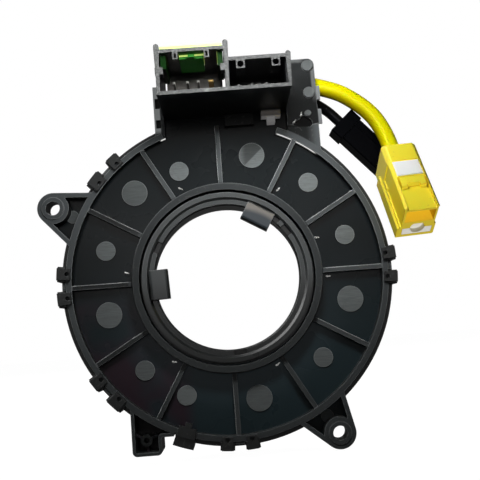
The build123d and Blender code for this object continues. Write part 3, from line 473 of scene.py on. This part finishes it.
SHELL_SIDE = (0.80, 0.60, 0.012)
SHELL_LEDGE = (0.50, 0.40, 0.04)
SHELL_CORNER = (0.55, 0.45, 0.03)
UNDER_LIGHT = (0.62, 0.47, 0.03)
SLOT_LIGHT = (0.60, 0.36, 0.02)
VINYL_CLOUD = (0.72, 0.66, 0.0)
VINYL_SHADE = (0.31, 0.255, 0.0)
WHITE_CLOUD = (0.75, 0.75, 0.72)
WHITE_LIGHT = (0.60, 0.59, 0.55)
UNDERSIDE_PAINTED_SHADE = (0.03, 0.03, 0.03)
COPPER = (0.62, 0.33, 0.16)
GLIDE_CLOUD = (0.6, 0.6, 0.55)


def housing_black(colours):
    """Back housing: glossy dark floor, matt ribs and rims, and scored round pads."""
    f = material("moulded_housing_black")
    where = f.where()
    x, y, z = f.along(where)
    nx, ny, nz = f.facing()
    radius = (x * x + z * z) ** 0.5
    axes = {"x": x, "y": y, "z": z, "r": radius}

    # Faces
    back = f.rise(ny, *SQUARELY)
    floor = f.rise(y, *FLOOR_DEPTH) * back
    pad = (f.band(y, *PAD_DEPTH) + f.band(y, *EAR_PAD_DEPTH)) * back
    collar = f.rise(radius, *COLLAR_EDGE) * back
    web = f.patch(axes, WEB)
    # Ridge tops, kept off the web's left part, which stays black as painted shadow
    top = f.rise(y, *RIDGE_DEPTH) * back * (1 - web * f.rise(x, *WEB_SHADE))
    strip = f.patch(axes, NECK_STRIP) * back
    low = f.rise(z, *LOWER_HALF)

    # Grain, clouds, and edges made paler partly by wear and partly as painted highlights
    cloud = f.noise(where, 0.02, 3)
    grain = f.noise(where, GRAIN, 2)
    fine = f.noise(where, 0.00012, 1)
    lathe = f.noise(f.stretched(where, (1, 1, 14), 24), 0.004, 3, 0.7)
    speck = f.specks(where, 0.0009, 0, 0.70, 0.74)
    edge_wear_and_glint = f.edges(0.00035) * (0.4 + cloud * 0.6)

    # Painted highlights: slivers on the rim's wall and gleams on the ribs; and a painted brownish
    # reflection on the lower left floor
    inward = f.patch(axes, SLIVER_WALL, f.rise((nx * x + nz * z) / radius, *INWARD))
    first, second, third = (f.band(x, *arc) for arc in SLIVER_ARCS)
    sliver = inward * (first + second + third) * f.band(y, *SLIVER_DEPTH)
    upward = f.rise(f.lean(f.rounded(0.00045), GLEAM_WAY), *GLEAM_LEAN)
    gleam = f.patch(axes, RIB_TOPS, upward)
    warm = f.patch(axes, PAINTED_REFLECTION_SPOT) * f.rise(cloud, *PAINTED_REFLECTION_CLOUDS)

    # How bright the ridges and the pads are from place to place: painted shade on the lower half,
    # painted light at the left edge, the ribs on the left darker, the shaded half of one pad, two
    # pads set apart in tone, and random clouds
    tone = 0.5 + cloud * 0.5 + f.rise(x, *LEFT_EDGE) * 0.35
    tone = tone * (1 - low * 0.45) * (1 - f.patch(axes, LEFT_RIBS) * 0.85)
    split = f.patch(axes, SPLIT_BOX, f.rise(z - x * SPLIT_SLOPE, *SPLIT_LINE))
    scored = pad * (0.4 + lathe * 0.8) * (1 - low * 0.25) * (1 - split * 0.65)
    scored = scored * (1 - f.patch(axes, DIM_PAD) * 0.42) * (1 + f.patch(axes, BRIGHT_PAD) * 0.7)

    # Painted light: the floor and the walls paler towards the bottom, which the lamps light less
    panel = f.blend(low, colours.floor_black, times(5.5, colours.floor_black))
    # A painted brownish reflection on the lower left floor
    panel = f.blend(warm, panel, times(2.8, colours.painted_reflection_tint))
    wall = f.blend(low, colours.edge_black, times(2.0, colours.edge_black))
    base = f.blend(floor, wall, panel)
    base = f.blend(top * tone * (1 - collar * 0.55), base, colours.rib_grey)
    base = f.blend(strip * 0.8, base, colours.rib_grey)
    base = f.blend(scored, base, colours.pad_grey)
    # Edges made paler partly by wear and partly as painted highlights, less on the lower half and
    # the collar
    paled = edge_wear_and_glint * (top * (1 - low * 0.5) + pad) * (1 - collar * 0.6)
    base = f.blend(paled, base, colours.wear_and_glint_grey)
    # Painted highlights on the rib edges that lean to the upper left
    base = f.blend(gleam * (0.6 + cloud * 0.5), base, PAINTED_GLINT_GREY)
    base = f.blend(speck * 0.25 * (1 - floor), base, colours.dust_grey)
    # Painted shade: the web's pocket made black
    base = f.blend(web * back * f.rise(y, *WEB_POCKET), base, SHADE_PAINTED_BLACK)

    # Painted light given off: on the floor near the collar in the lower half, on the neck strip in
    # the socket block's shadow, and as painted highlights on the rim's slivers
    glow = f.blend(floor * low * f.rise(radius, *NEAR_COLLAR), NO_GLOW, FLOOR_LIFT)
    glow = f.blend(strip * (0.5 + cloud * 0.5), glow, STRIP_LIFT)
    glow = f.blend(sliver, glow, SLIVER_LIGHT)
    height = grain * (0.5 + top * 0.5) + fine * 0.3 + lathe * pad * 1.2
    return f.surface(
        Base_Color=base,
        Roughness=0.42 - floor * 0.14 + top * 0.1 + pad * 0.1 + (cloud - 0.5) * 0.12,
        Normal=f.bump(height, GRAIN_DEPTH, 0.7, f.rounded(EDGE_ROUND)),
        Specular_IOR_Level=0.2,
        Emission_Color=glow,
        Emission_Strength=1.0,
    )


def plain_black(name, colour, rough, depth=GRAIN_DEPTH, shine=0.5, dust=0.3):
    """Moulded black plastic with a fine grain, cloudy gloss and specks of dust."""
    f = material(name)
    where = f.where()
    cloud = f.noise(where, 0.012, 3)
    base = f.blend(cloud * 0.5, colour, times(2.2, colour))
    base = f.blend(f.specks(where, 0.0008, 0, 0.72, 0.76) * dust, base, DUST)
    return f.surface(
        Base_Color=base,
        Roughness=rough + (cloud - 0.5) * 0.14,
        Normal=f.bump(f.noise(where, GRAIN, 2), depth, 0.6, f.rounded(EDGE_ROUND)),
        Specular_IOR_Level=shine,
    )


def hub_black(colour):
    """Hub and ring: painted light on the upper half and its edges, the notches painted black as
    shade, and a warm painted sheen on the upper drive tab.
    """
    f = material("moulded_rotor_black")
    where = f.where()
    x, y, z = f.along(where)
    ny = f.facing()[1]
    radius = (x * x + z * z) ** 0.5
    axes = {"y": y, "r": radius}
    back = f.rise(ny, *MOSTLY)
    land = f.rise(y, *LAND_DEPTH)
    # Painted light on the upper half: its land, and most of its lip
    paled = f.rise(z, *PAINTED_LIGHT_HALF) * back * (land + (1 - land) * 0.8 * f.rise(y, *LIP_DEPTH))
    # The ring's notches, painted black as shade
    notch = f.patch(axes, RING_NOTCH) * back
    tabs = f.patch(axes, DRIVE_TABS)
    cloud = f.noise(where, 0.012, 3)
    # A painted sheen on the right drive tab, cool near the hub and warm further out
    sheen_share = f.rise(radius - x * SHEEN_SLOPE, *SHEEN_EDGE)
    sheen = f.blend(sheen_share, TAB_COOL, TAB_WARM)
    base = f.blend(cloud * 0.5, colour, times(2.2, colour))
    # Painted light on the upper half, and the painted sheen on the right drive tab
    base = f.blend(paled * (0.7 + cloud * 0.5), base, HUB_PAINTED_LIGHT)
    base = f.blend(tabs * f.rise(x, *RIGHT_TAB), base, sheen)
    # Painted highlights on the edges of the upper half
    base = f.blend(f.edges(0.0003) * back * paled * 0.8, base, HUB_PAINTED_EDGE_GLINT)
    base = f.blend(notch, base, SHADE_PAINTED_BLACK)
    return f.surface(
        Base_Color=base,
        Roughness=0.3 + (cloud - 0.5) * 0.14,
        Normal=f.bump(f.noise(where, GRAIN, 2), GRAIN_DEPTH, 0.6, f.rounded(EDGE_ROUND)),
    )


def cover_black(colours):
    """Lead cover: dark, paler towards the upper left as painted light, with paler crests, edges
    made paler by wear and by painted highlights, and pale heads on its staked pins.
    """
    f = material("moulded_cover_black")
    where = f.where()
    x, y, z = f.along(where)
    ny = f.facing()[1]
    axes = {"x": x, "z": z}
    heads = f.rise(y, *HEAD_DEPTH) * f.rise(ny, *MOSTLY)
    upper = f.rise(z - x * COVER_SLOPE, *COVER_UPPER)
    crest = f.patch(axes, TOP_CREST) + f.patch(axes, SIDE_CREST)
    cloud = f.noise(where, 0.005, 4, 0.6)
    speck = f.specks(where, 0.0007, 1, 0.70, 0.76)
    dark, pale = times(0.6, colours.cover_black), times(3, colours.cover_black)
    # Painted light: paler towards the upper left, in clouds
    base = f.blend(upper * cloud, dark, pale)
    base = f.blend(speck * 0.4, base, DUST)
    # Paler crests, and edges made paler partly by wear and partly as painted highlights
    base = f.blend(crest * (0.5 + cloud * 0.6), base, CREST_GREY)
    base = f.blend(f.edges(0.0004) * (1 - heads) * 0.6, base, COVER_EDGE)
    base = f.blend(heads * (0.6 + cloud * 0.3), base, colours.stake_grey)
    base = f.blend(f.rise(x, *COVER_TABS) * (0.5 + cloud * 0.5), base, COVER_TAB_GREY)
    return f.surface(
        Base_Color=base,
        Roughness=0.4,
        Normal=f.bump(f.noise(where, 0.0005, 3), 0.00004, 0.6, f.rounded(EDGE_ROUND)),
        Specular_IOR_Level=0.3,
    )


def socket_black(colours):
    """Socket block: dark walls, a paler rough edge round both mouths, and a far wall and latch
    painted pale as light, with painted light given off by the latch.
    """
    f = material("moulded_socket_black")
    where = f.where()
    x, y, z = f.along(where)
    ny = f.facing()[1]
    back = f.rise(ny, *MOSTLY)
    mouth = f.rise(y, *MOUTH_DEPTH) * back
    deep = f.band(y, *BACK_WALL_DEPTH) * back * f.rise(x, *LEFT_SOCKET)
    latch = f.patch({"y": y, "z": z}, LATCH)
    stem = latch * f.rise(z, *LATCH_STEM)
    far = 1 - f.rise(x, *MOUTH_MIDDLE) * 0.34 - f.rise(x, *MOUTH_RIGHT) * 0.22
    cloud = f.noise(where, 0.012, 3)
    grain = f.noise(where, 0.0007, 3, 0.7)
    fine = f.noise(where, 0.0003, 2)
    base = f.blend(cloud * 0.5, colours.socket_black, times(1.8, colours.socket_black))
    # Painted light: the left socket's far wall and the latch made pale
    base = f.blend(deep, base, BACK_WALL_PAINTED_GREY)
    base = f.blend(latch, base, LATCH_PAINTED_PALE)
    rough_edge = mouth * (0.3 + 0.7 * f.rise(grain, 0.35, 0.7)) * far
    base = f.blend(rough_edge, base, colours.mouth_grey)
    base = f.blend(mouth * f.rise(cloud, 0.60, 0.68) * 0.4 * far, base, MOUTH_PALE)
    # Painted light given off by the latch and, more, by its stem, which lie in shadow
    glow = f.blend(latch, NO_GLOW, LATCH_LIFT)
    glow = f.blend(stem, glow, STEM_LIFT)
    return f.surface(
        Base_Color=base,
        Roughness=0.34 + mouth * 0.2,
        Normal=f.bump(grain * mouth + fine * 0.4, 0.00008, 0.7, f.rounded(0.0002)),
        Emission_Color=glow,
        Emission_Strength=1.0,
    )


def green_lining(colour):
    """Dark green plastic with painted light: the lid and slots bright and glowing where light
    comes through their edges, the tongue paler and glowing in its shade.
    """
    f = material("moulded_green")
    where = f.where()
    x, y, z = f.along(where)
    axes = {"x": x, "y": y, "z": z}
    lid = f.rise(z, *LID)
    slots = f.patch(axes, LID_SLOTS)
    tongue = f.patch(axes, TONGUE)
    cloud = f.noise(where, 0.003, 3)
    base = f.blend(cloud * 0.4, times(0.26, colour), times(0.1, colour))
    # Painted light: the tongue paler, and the lid and slots bright where light comes through their
    # edges
    base = f.blend(tongue, base, times(2.2, colour))
    base = f.blend(lid * (0.6 + cloud * 0.4), base, LID_GREEN)
    base = f.blend(slots, base, SLOT_GREEN)
    # Painted light given off by the tongue, the slots and the lid
    glow = f.blend(tongue, NO_GLOW, TONGUE_LIFT)
    glow = f.blend(slots + lid * 0.5, glow, GREEN_LIGHT)
    return f.surface(
        Base_Color=base,
        Roughness=0.35 + cloud * 0.15,
        Normal=f.bump(f.noise(where, 0.0005), 0.00002, 0.5, f.rounded(0.00015)),
        Specular_IOR_Level=0.1,
        Emission_Color=glow,
        Emission_Strength=0.6,
    )


def yellow_shell(colour):
    """Pale yellow plug plastic with a light moulded grain, painted shade on its left side, and
    painted light on its downward faces and in its slot.
    """
    f = material("moulded_yellow")
    where = f.where()
    x, y, z = f.along(where)
    nx, ny, nz = f.facing()
    across_z, across_y = SLOT_SLANT
    slot = f.band(z * across_z - y * across_y, *SLOT_SPAN)
    slot = slot * f.rise(ny, *SLANTING) * f.rise(x, *SLOT_START)
    side = f.rise(nx, *SQUARELY)
    cloud = f.noise(where, 0.008, 3)
    speck = f.specks(where, 0.0011, 1, 0.70, 0.78)
    base = f.blend(cloud * 0.5, colour, SHELL_CLOUD)
    base = f.blend(speck * 0.3, base, SHELL_SPECK)
    # Painted shade on the face, ledge and corner of the left side
    base = f.blend(side * f.rise(x, *SIDE_FACE), base, SHELL_SIDE)
    base = f.blend(side * f.rise(x, *SIDE_LEDGE) * 0.6, base, SHELL_LEDGE)
    base = f.blend((1 - side) * f.rise(x, *LEFT_CORNER) * 0.5, base, SHELL_CORNER)
    # Painted light given off by the downward faces and by the slot in the mouth
    glow = f.blend(f.rise(nz, *DOWNWARD), NO_GLOW, UNDER_LIGHT)
    glow = f.blend(slot, glow, SLOT_LIGHT)
    return f.surface(
        Base_Color=base,
        Roughness=0.36 + cloud * 0.12,
        Normal=f.bump(f.noise(where, 0.0003, 2), 0.00002, 0.5, f.rounded(0.0003)),
        Subsurface_Weight=0.12,
        Subsurface_Scale=0.001,
        Emission_Color=glow,
        Emission_Strength=0.75,
    )


def yellow_vinyl(colour):
    """Glossy sleeve, darker on its lower left side and creased across its bends."""
    f = material("yellow_sleeve_vinyl")
    where = f.where()
    nx, _, nz = f.facing()
    cloud = f.noise(where, 0.006, 3)
    crease = f.noise(f.stretched(where, turn=40), 0.0022, 2)
    shaded = f.rise(0 - nx * 0.6 - nz * 0.8, 0.2, 0.85)
    base = f.blend(cloud * 0.6, colour, VINYL_CLOUD)
    base = f.blend(shaded, base, VINYL_SHADE)
    return f.surface(
        Base_Color=base,
        Roughness=0.28 + cloud * 0.1,
        Normal=f.bump(crease, 0.00005, 0.5),
        Specular_IOR_Level=0.25,
        Subsurface_Weight=0.1,
        Subsurface_Scale=0.002,
    )


def white_plate(colour):
    """White plastic whose downward faces glow with painted light."""
    f = material("moulded_white")
    where = f.where()
    nz = f.facing()[2]
    cloud = f.noise(where, 0.003, 2)
    return f.surface(
        Base_Color=f.blend(cloud * 0.3, colour, WHITE_CLOUD),
        Roughness=0.45,
        Normal=f.bump(f.noise(where, 0.0003), 0.00001, 0.5, f.rounded(0.00015)),
        Subsurface_Weight=0.1,
        Emission_Color=f.blend(f.rise(nz, *DOWNWARD), NO_GLOW, WHITE_LIGHT),
        Emission_Strength=0.9,
    )


def plated(name, colour, tarnish, blade=None):
    """Drawn and plated contact metal, dulled in patches. Given a blade colour, the pins have
    painted shade, black, under them, and the blade beside them takes that colour.
    """
    f = material(name)
    where = f.where()
    patch = f.noise(where, 0.0018, 3)
    drawn = f.noise(f.stretched(where, (1, 0.06, 1)), 0.0004, 2)
    base = f.blend(f.rise(patch, 0.4, 0.7) * 0.5, colour, tarnish)
    if blade:
        x = f.along(where)[0]
        nz = f.facing()[2]
        # Painted shade: the pins' undersides black, beside the blade
        under = f.blend(f.rise(nz, *STEEPLY), base, UNDERSIDE_PAINTED_SHADE)
        base = f.blend(f.rise(x, *BLADE_START), under, blade)
    return f.surface(
        Base_Color=base,
        Metallic=0.6,
        Roughness=0.22 + patch * 0.25,
        Normal=f.bump(drawn, 0.00001, 0.5, f.rounded(0.0001)),
    )


def ribbon_film(colour):
    """Clear film over flat copper strips that run along the ribbon."""
    f = material("ribbon_film")
    strip = f.node(
        "ShaderNodeTexWave",
        {"bands_direction": "Y", "wave_profile": "SIN"},
        {"Vector": f.where(), "Scale": 130.0},
    )["Fac"]
    return f.surface(
        Base_Color=f.blend(f.rise(strip, 0.35, 0.55), colour, COPPER),
        Roughness=0.2,
        Normal=f.bump(strip, 0.00002, 0.4),
        Coat_Weight=0.5,
        Coat_Roughness=0.05,
    )


def glide_film(colour):
    """Cloudy low-friction film."""
    f = material("glide_film")
    where = f.where()
    cloud = f.noise(where, 0.01, 3)
    return f.surface(
        Base_Color=f.blend(cloud * 0.4, colour, GLIDE_CLOUD),
        Roughness=0.4 + cloud * 0.2,
        Normal=f.bump(f.noise(where, 0.0006), 0.00002, 0.5),
    )


def torn_gate(colours):
    """Pale torn plastic of the gate nibs, glowing with painted light."""
    f = material("torn_gate")
    tear = f.noise(f.where(), 0.0003, 3, 0.7)
    base = f.blend(f.rise(tear, 0.4, 0.6), colours.dust_grey, colours.gate_grey)
    return f.surface(
        Base_Color=base,
        Roughness=0.5,
        Normal=f.bump(tear, 0.0002),
        Emission_Color=base,
        Emission_Strength=0.5,
    )


# Settings

def colour_prop(name, description, default):
    return bpy.props.FloatVectorProperty(
        name=name, description=description, default=default, subtype="COLOR", size=3, min=0, max=1
    )


class ClockSpringFinishes(bpy.types.PropertyGroup):
    """Colours of the clock spring's finishes."""

    floor_black: colour_prop("Floor black", "Floor between the ribs", (0.0034, 0.0060, 0.0070))
    edge_black: colour_prop("Wall black", "Walls of the back housing", (0.010, 0.011, 0.011))
    rib_grey: colour_prop("Rib grey", "Tops of ribs, rim and collar", (0.098, 0.108, 0.112))
    # Edges made paler partly by wear and partly as painted highlights
    wear_and_glint_grey: colour_prop("Rubbed grey", "Worn edges of ribs and pads", (0.34, 0.36, 0.36))
    # A painted brownish reflection on the lower left floor
    painted_reflection_tint: colour_prop("Stain", "Brownish cast at the lower left", (0.0120, 0.0068, 0.0098))
    pad_grey: colour_prop("Pad grey", "Scored faces of the round pads", (0.20, 0.22, 0.22))
    dust_grey: colour_prop("Dust grey", "Fine specks on the housing", (0.11, 0.11, 0.10))
    case_black: colour_prop("Case black", "Front case and its clips", (0.012, 0.013, 0.013))
    socket_black: colour_prop("Socket black", "Socket block", (0.010, 0.0105, 0.011))
    mouth_grey: colour_prop("Mouth grey", "Edges of the sockets' mouths", (0.145, 0.15, 0.147))
    stake_grey: colour_prop("Stake grey", "Heads of the cover's pins", (0.115, 0.125, 0.125))
    gate_grey: colour_prop("Gate grey", "Torn gate nibs", (0.75, 0.75, 0.73))
    cover_black: colour_prop("Cover black", "Lead cover and carriers", (0.007, 0.0078, 0.008))
    plug_black: colour_prop("Plug black", "Black plug", (0.0012, 0.0013, 0.0018))
    rotor_black: colour_prop("Rotor black", "Hub, ring and disc", (0.014, 0.015, 0.015))
    sleeve_black: colour_prop("Sleeve black", "Short black sleeve", (0.0018, 0.0018, 0.0025))
    green: colour_prop("Green", "Lining of the left socket", (0.012, 0.085, 0.010))
    plug_yellow: colour_prop("Plug yellow", "Airbag plug housing", (0.80, 0.69, 0.038))
    sleeve_yellow: colour_prop("Sleeve yellow", "Airbag lead sleeve", (0.70, 0.655, 0.001))
    white: colour_prop("White", "Locking plate and insert", (0.86, 0.86, 0.84))
    tin: colour_prop("Tin", "Tinned socket pins", (0.62, 0.62, 0.60))
    tin_tarnish: colour_prop("Tin tarnish", "Dull patches on the pins", (0.42, 0.36, 0.24))
    brass: colour_prop("Brass", "Plug contacts", (0.72, 0.56, 0.26))
    brass_tarnish: colour_prop("Brass tarnish", "Dull patches on them", (0.45, 0.30, 0.12))
    blade: colour_prop("Blade", "Blade beside the left socket's pins", (0.62, 0.40, 0.13))
    film: colour_prop("Film", "Ribbon cable's film", (0.72, 0.73, 0.70))
    glide: colour_prop("Glide film", "Low-friction sheets", (0.78, 0.78, 0.73))


class ClockSpringSizes(bpy.types.PropertyGroup):
    """Sizes of the pieces and of the studio."""

    sleeve_diameter: bpy.props.FloatProperty(
        name="Sleeve diameter",
        description="Outside of the yellow sleeve",
        default=0.0055,
        unit="LENGTH",
    )
    sleeve_length: bpy.props.FloatProperty(
        name="Sleeve length",
        description="Yellow sleeve from the neck wall to its seat",
        default=0.0461,
        unit="LENGTH",
    )
    floor_gap: bpy.props.FloatProperty(
        name="Floor gap",
        description="Space under the lowest ear",
        default=0.0005,
        unit="LENGTH",
    )
    lens: bpy.props.FloatProperty(
        name="Lens",
        description="Focal length on a 36 mm sensor",
        default=53.85,
        subtype="DISTANCE_CAMERA",
    )


# Operators

class DressHousing(bpy.types.Operator):
    """Finish the back housing, front case and lead cover, and leave the gate nibs"""

    bl_idname = "clock_spring.housing"
    bl_label = "Housing and Case"

    def execute(self, context):
        colours = context.scene.clock_spring_finishes
        paint(housing_black(colours), "back_housing")
        paint(plain_black("moulded_case_black", colours.case_black, 0.36), "front_case")
        paint(cover_black(colours), "lead_cover")
        self.leave_gates(context, colours)
        return {"FINISHED"}

    def leave_gates(self, context, colours):
        """Torn nibs where the mouldings were cut from their gates."""
        mesh = bpy.data.meshes.new("gate_nibs")
        shape = bmesh.new()
        along, across = NIB_SPREAD
        for x, y, z, turn in GATES:
            tear = Matrix.Translation((x, y, z)) @ Matrix.Rotation(math.radians(turn), 4, "Y")
            for side, size in NIB_LUMPS:
                spot = tear @ Matrix.Translation((side * size * along, 0, side * size * across))
                spot = spot @ Matrix.Diagonal(NIB_STRETCH)
                bmesh.ops.create_icosphere(shape, subdivisions=2, radius=size, matrix=spot)
        bmesh.ops.recalc_face_normals(shape, faces=shape.faces)
        shape.to_mesh(mesh)
        shape.free()
        mesh.materials.append(torn_gate(colours))
        nibs = bpy.data.objects.new("gate_nibs", mesh)
        context.collection.objects.link(nibs)
        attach(nibs, "stator")


class DressSockets(bpy.types.Operator):
    """Finish the socket block, its green lining, carriers and pins"""

    bl_idname = "clock_spring.sockets"
    bl_label = "Sockets and Pins"

    def execute(self, context):
        colours = context.scene.clock_spring_finishes
        tin, tarnish = colours.tin, colours.tin_tarnish
        paint(socket_black(colours), "socket_block")
        paint(
            plain_black("moulded_carrier_black", colours.cover_black, 0.45),
            "stator_terminal_carrier",
            "rotor_terminal_carrier",
        )
        paint(green_lining(colours.green), "green_lock_shell")
        paint(plated("tinned_pin", tin, tarnish), "right_socket_pins", "rotor_socket_pins")
        paint(plated("tinned_pin_and_blade", tin, tarnish, colours.blade), "left_socket_pins")
        return {"FINISHED"}


class DressRotor(bpy.types.Operator):
    """Finish the hub, its ring, the ribbon cable and the glide sheets"""

    bl_idname = "clock_spring.rotor"
    bl_label = "Rotor and Ribbon"

    def execute(self, context):
        colours = context.scene.clock_spring_finishes
        paint(hub_black(colours.rotor_black), "rotor_hub", "hub_ring")
        paint(ribbon_film(colours.film), "flat_cable")
        paint(glide_film(colours.glide), "rear_glide_sheet", "front_glide_sheet")
        return {"FINISHED"}


class MakeLeads(bpy.types.Operator):
    """Make the yellow sleeve on its route, and finish the black one"""

    bl_idname = "clock_spring.leads"
    bl_label = "Leads"

    def execute(self, context):
        colours = context.scene.clock_spring_finishes
        sizes = context.scene.clock_spring_sizes
        line = bpy.data.curves.new("yellow_sleeve", "CURVE")
        line.dimensions = "3D"
        line.bevel_depth = sizes.sleeve_diameter / 2
        line.bevel_resolution = SLEEVE_ROUNDNESS
        line.resolution_u = SLEEVE_STEPS
        line.use_fill_caps = True
        spline = line.splines.new("NURBS")
        spline.points.add(len(SLEEVE_ROUTE) - 1)
        for point, corner in zip(spline.points, SLEEVE_ROUTE):
            point.co = (*corner, 1)
        spline.order_u = 3
        spline.use_endpoint_u = True
        line.materials.append(yellow_vinyl(colours.sleeve_yellow))
        sleeve = bpy.data.objects.new("yellow_sleeve", line)
        context.collection.objects.link(sleeve)
        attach(sleeve, "stator")
        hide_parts("yellow_lead")
        black = plain_black(
            "black_sleeve_vinyl", colours.sleeve_black, 0.3, depth=0.00001, shine=0.2
        )
        paint(black, "black_lead")
        return {"FINISHED"}


class DressPlugs(bpy.types.Operator):
    """Finish the yellow airbag plug and the black plug behind it"""

    bl_idname = "clock_spring.plugs"
    bl_label = "Plugs"

    def execute(self, context):
        colours = context.scene.clock_spring_finishes
        paint(yellow_shell(colours.plug_yellow), "yellow_connector")
        paint(white_plate(colours.white), "yellow_connector_lock", "yellow_connector_insert")
        paint(
            plated("brass_contact", colours.brass, colours.brass_tarnish),
            "yellow_connector_terminals",
            "black_connector_terminals",
        )
        black = plain_black("moulded_plug_black", colours.plug_black, 0.3, shine=0.03, dust=0.0)
        paint(black, "black_connector")
        return {"FINISHED"}


class MakeStage(bpy.types.Operator):
    """Put up the camera, lamps, world and floor"""

    bl_idname = "clock_spring.stage"
    bl_label = "Studio"

    def execute(self, context):
        scene = context.scene
        sizes = scene.clock_spring_sizes
        scene.view_settings.view_transform = "Standard"
        self.aim_camera(scene, sizes)
        self.hang_lamps(scene)
        self.light_world(scene)
        self.lay_floor(scene, sizes)
        return {"FINISHED"}

    def aim_camera(self, scene, sizes):
        """The photograph's view. The turn is in degrees."""
        lens = bpy.data.cameras.new("photo_view")
        lens.lens = sizes.lens
        lens.sensor_width = SENSOR_WIDTH
        lens.shift_y = CAMERA_SHIFT
        lens.clip_start = NEAREST_SEEN
        camera = bpy.data.objects.new("photo_view", lens)
        camera.location = CAMERA_PLACE
        camera.rotation_euler = [math.radians(turn) for turn in CAMERA_TURN]
        scene.collection.objects.link(camera)
        scene.camera = camera

    def hang_lamps(self, scene):
        """The square lamps, then the card."""
        for name, place, aim, size, power, spread, shines in LAMPS:
            lamp = bpy.data.lights.new(name, "AREA")
            lamp.size = size
            lamp.energy = power
            lamp.spread = math.radians(spread)
            turn = (Vector(aim) - Vector(place)).to_track_quat("-Z", "Y").to_euler()
            self.hang(scene, lamp, place, turn).visible_glossy = shines
        card = bpy.data.lights.new("card_lamp", "AREA")
        card.shape = "RECTANGLE"
        card.size, card.size_y = CARD_SIDES
        card.energy = CARD_POWER
        upright = (math.radians(90), 0, 0)
        self.hang(scene, card, CARD_PLACE, upright).visible_diffuse = False

    def hang(self, scene, lamp, place, turn):
        """Puts a lamp up, out of the camera's sight."""
        held = bpy.data.objects.new(lamp.name, lamp)
        held.location = place
        held.rotation_euler = turn
        held.visible_camera = False
        scene.collection.objects.link(held)
        return held

    def light_world(self, scene):
        """White to the camera, dim to surfaces, and dark with one bright patch to reflections."""
        world = bpy.data.worlds.new("pale_studio")
        scene.world = world
        f = Finish(world)
        ray = f.node("ShaderNodeLightPath")
        x, _, z = f.along(f.node("ShaderNodeTexCoord")["Generated"])
        patch = f.rise(z * PATCH_UP - x * PATCH_LEFT, *PATCH_EDGE)
        glossy = ray["Is Glossy Ray"]
        seen = straight_on(ray)
        soft = SOFT_LIGHT * (1 - glossy) + glossy * (REFLECTED_LIGHT + patch * PATCH_LIGHT)
        strength = seen + (1 - seen) * soft
        glow = f.node("ShaderNodeBackground", None, {"Color": WHITE, "Strength": strength})
        f.node("ShaderNodeOutputWorld", None, {"Surface": glow[0]})

    def lay_floor(self, scene, sizes):
        """A floor that is white to the camera and keeps the part's shadow."""
        mesh = bpy.data.meshes.new("pale_floor")
        shape = bmesh.new()
        bmesh.ops.create_grid(shape, x_segments=1, y_segments=1, size=FLOOR_HALF_SIDE)
        drop = (0, 0, CAD_BOX[0][2] - sizes.floor_gap)
        bmesh.ops.translate(shape, vec=drop, verts=shape.verts)
        shape.to_mesh(mesh)
        shape.free()
        floor = bpy.data.objects.new("pale_floor", mesh)
        scene.collection.objects.link(floor)
        f = material("pale_floor")
        ray = f.node("ShaderNodeLightPath")
        dark = f.node("ShaderNodeBsdfDiffuse", None, {"Color": FLOOR_GREY})
        white = f.node("ShaderNodeBsdfDiffuse", None, {"Color": FLOOR_WHITE})
        glow = f.node("ShaderNodeEmission", None, {"Color": WHITE, "Strength": FLOOR_GLOW})
        sheen = f.node("ShaderNodeEmission", None, {"Color": WHITE, "Strength": FLOOR_SHEEN})
        lit = self.mixed(f, FLOOR_GLOW_SHARE, white, glow)
        dim = self.mixed(f, ray["Is Glossy Ray"], dark, sheen)
        both = self.mixed(f, straight_on(ray), dim, lit)
        f.node("ShaderNodeOutputMaterial", None, {"Surface": both[0]})
        mesh.materials.append(f.owner)

    def mixed(self, f, share, first, second):
        """Two shaders mixed by that share."""
        return f.node("ShaderNodeMixShader", None, {0: share, 1: first[0], 2: second[0]})


STEPS = (DressHousing, DressSockets, DressRotor, MakeLeads, DressPlugs, MakeStage)


class ClockSpringPanel(bpy.types.Panel):
    """Lists the steps and the settings"""

    bl_idname = "VIEW3D_PT_clock_spring"
    bl_label = "Clock Spring"
    bl_space_type = "VIEW_3D"
    bl_region_type = "UI"
    bl_category = "Clock Spring"

    def draw(self, context):
        for step in STEPS:
            self.layout.operator(step.bl_idname)
        for group in (context.scene.clock_spring_finishes, context.scene.clock_spring_sizes):
            column = self.layout.column(align=True)
            for name in group.__annotations__:
                column.prop(group, name)


CLASSES = (ClockSpringFinishes, ClockSpringSizes, *STEPS, ClockSpringPanel)


def register():
    for kind in CLASSES:
        bpy.utils.register_class(kind)
    bpy.types.Scene.clock_spring_finishes = bpy.props.PointerProperty(type=ClockSpringFinishes)
    bpy.types.Scene.clock_spring_sizes = bpy.props.PointerProperty(type=ClockSpringSizes)


def unregister():
    del bpy.types.Scene.clock_spring_sizes
    del bpy.types.Scene.clock_spring_finishes
    for kind in reversed(CLASSES):
        bpy.utils.unregister_class(kind)


def main():
    register()
    for step in STEPS:
        group, name = step.bl_idname.split(".")
        getattr(getattr(bpy.ops, group), name)()


if __name__ == "__main__":
    main()
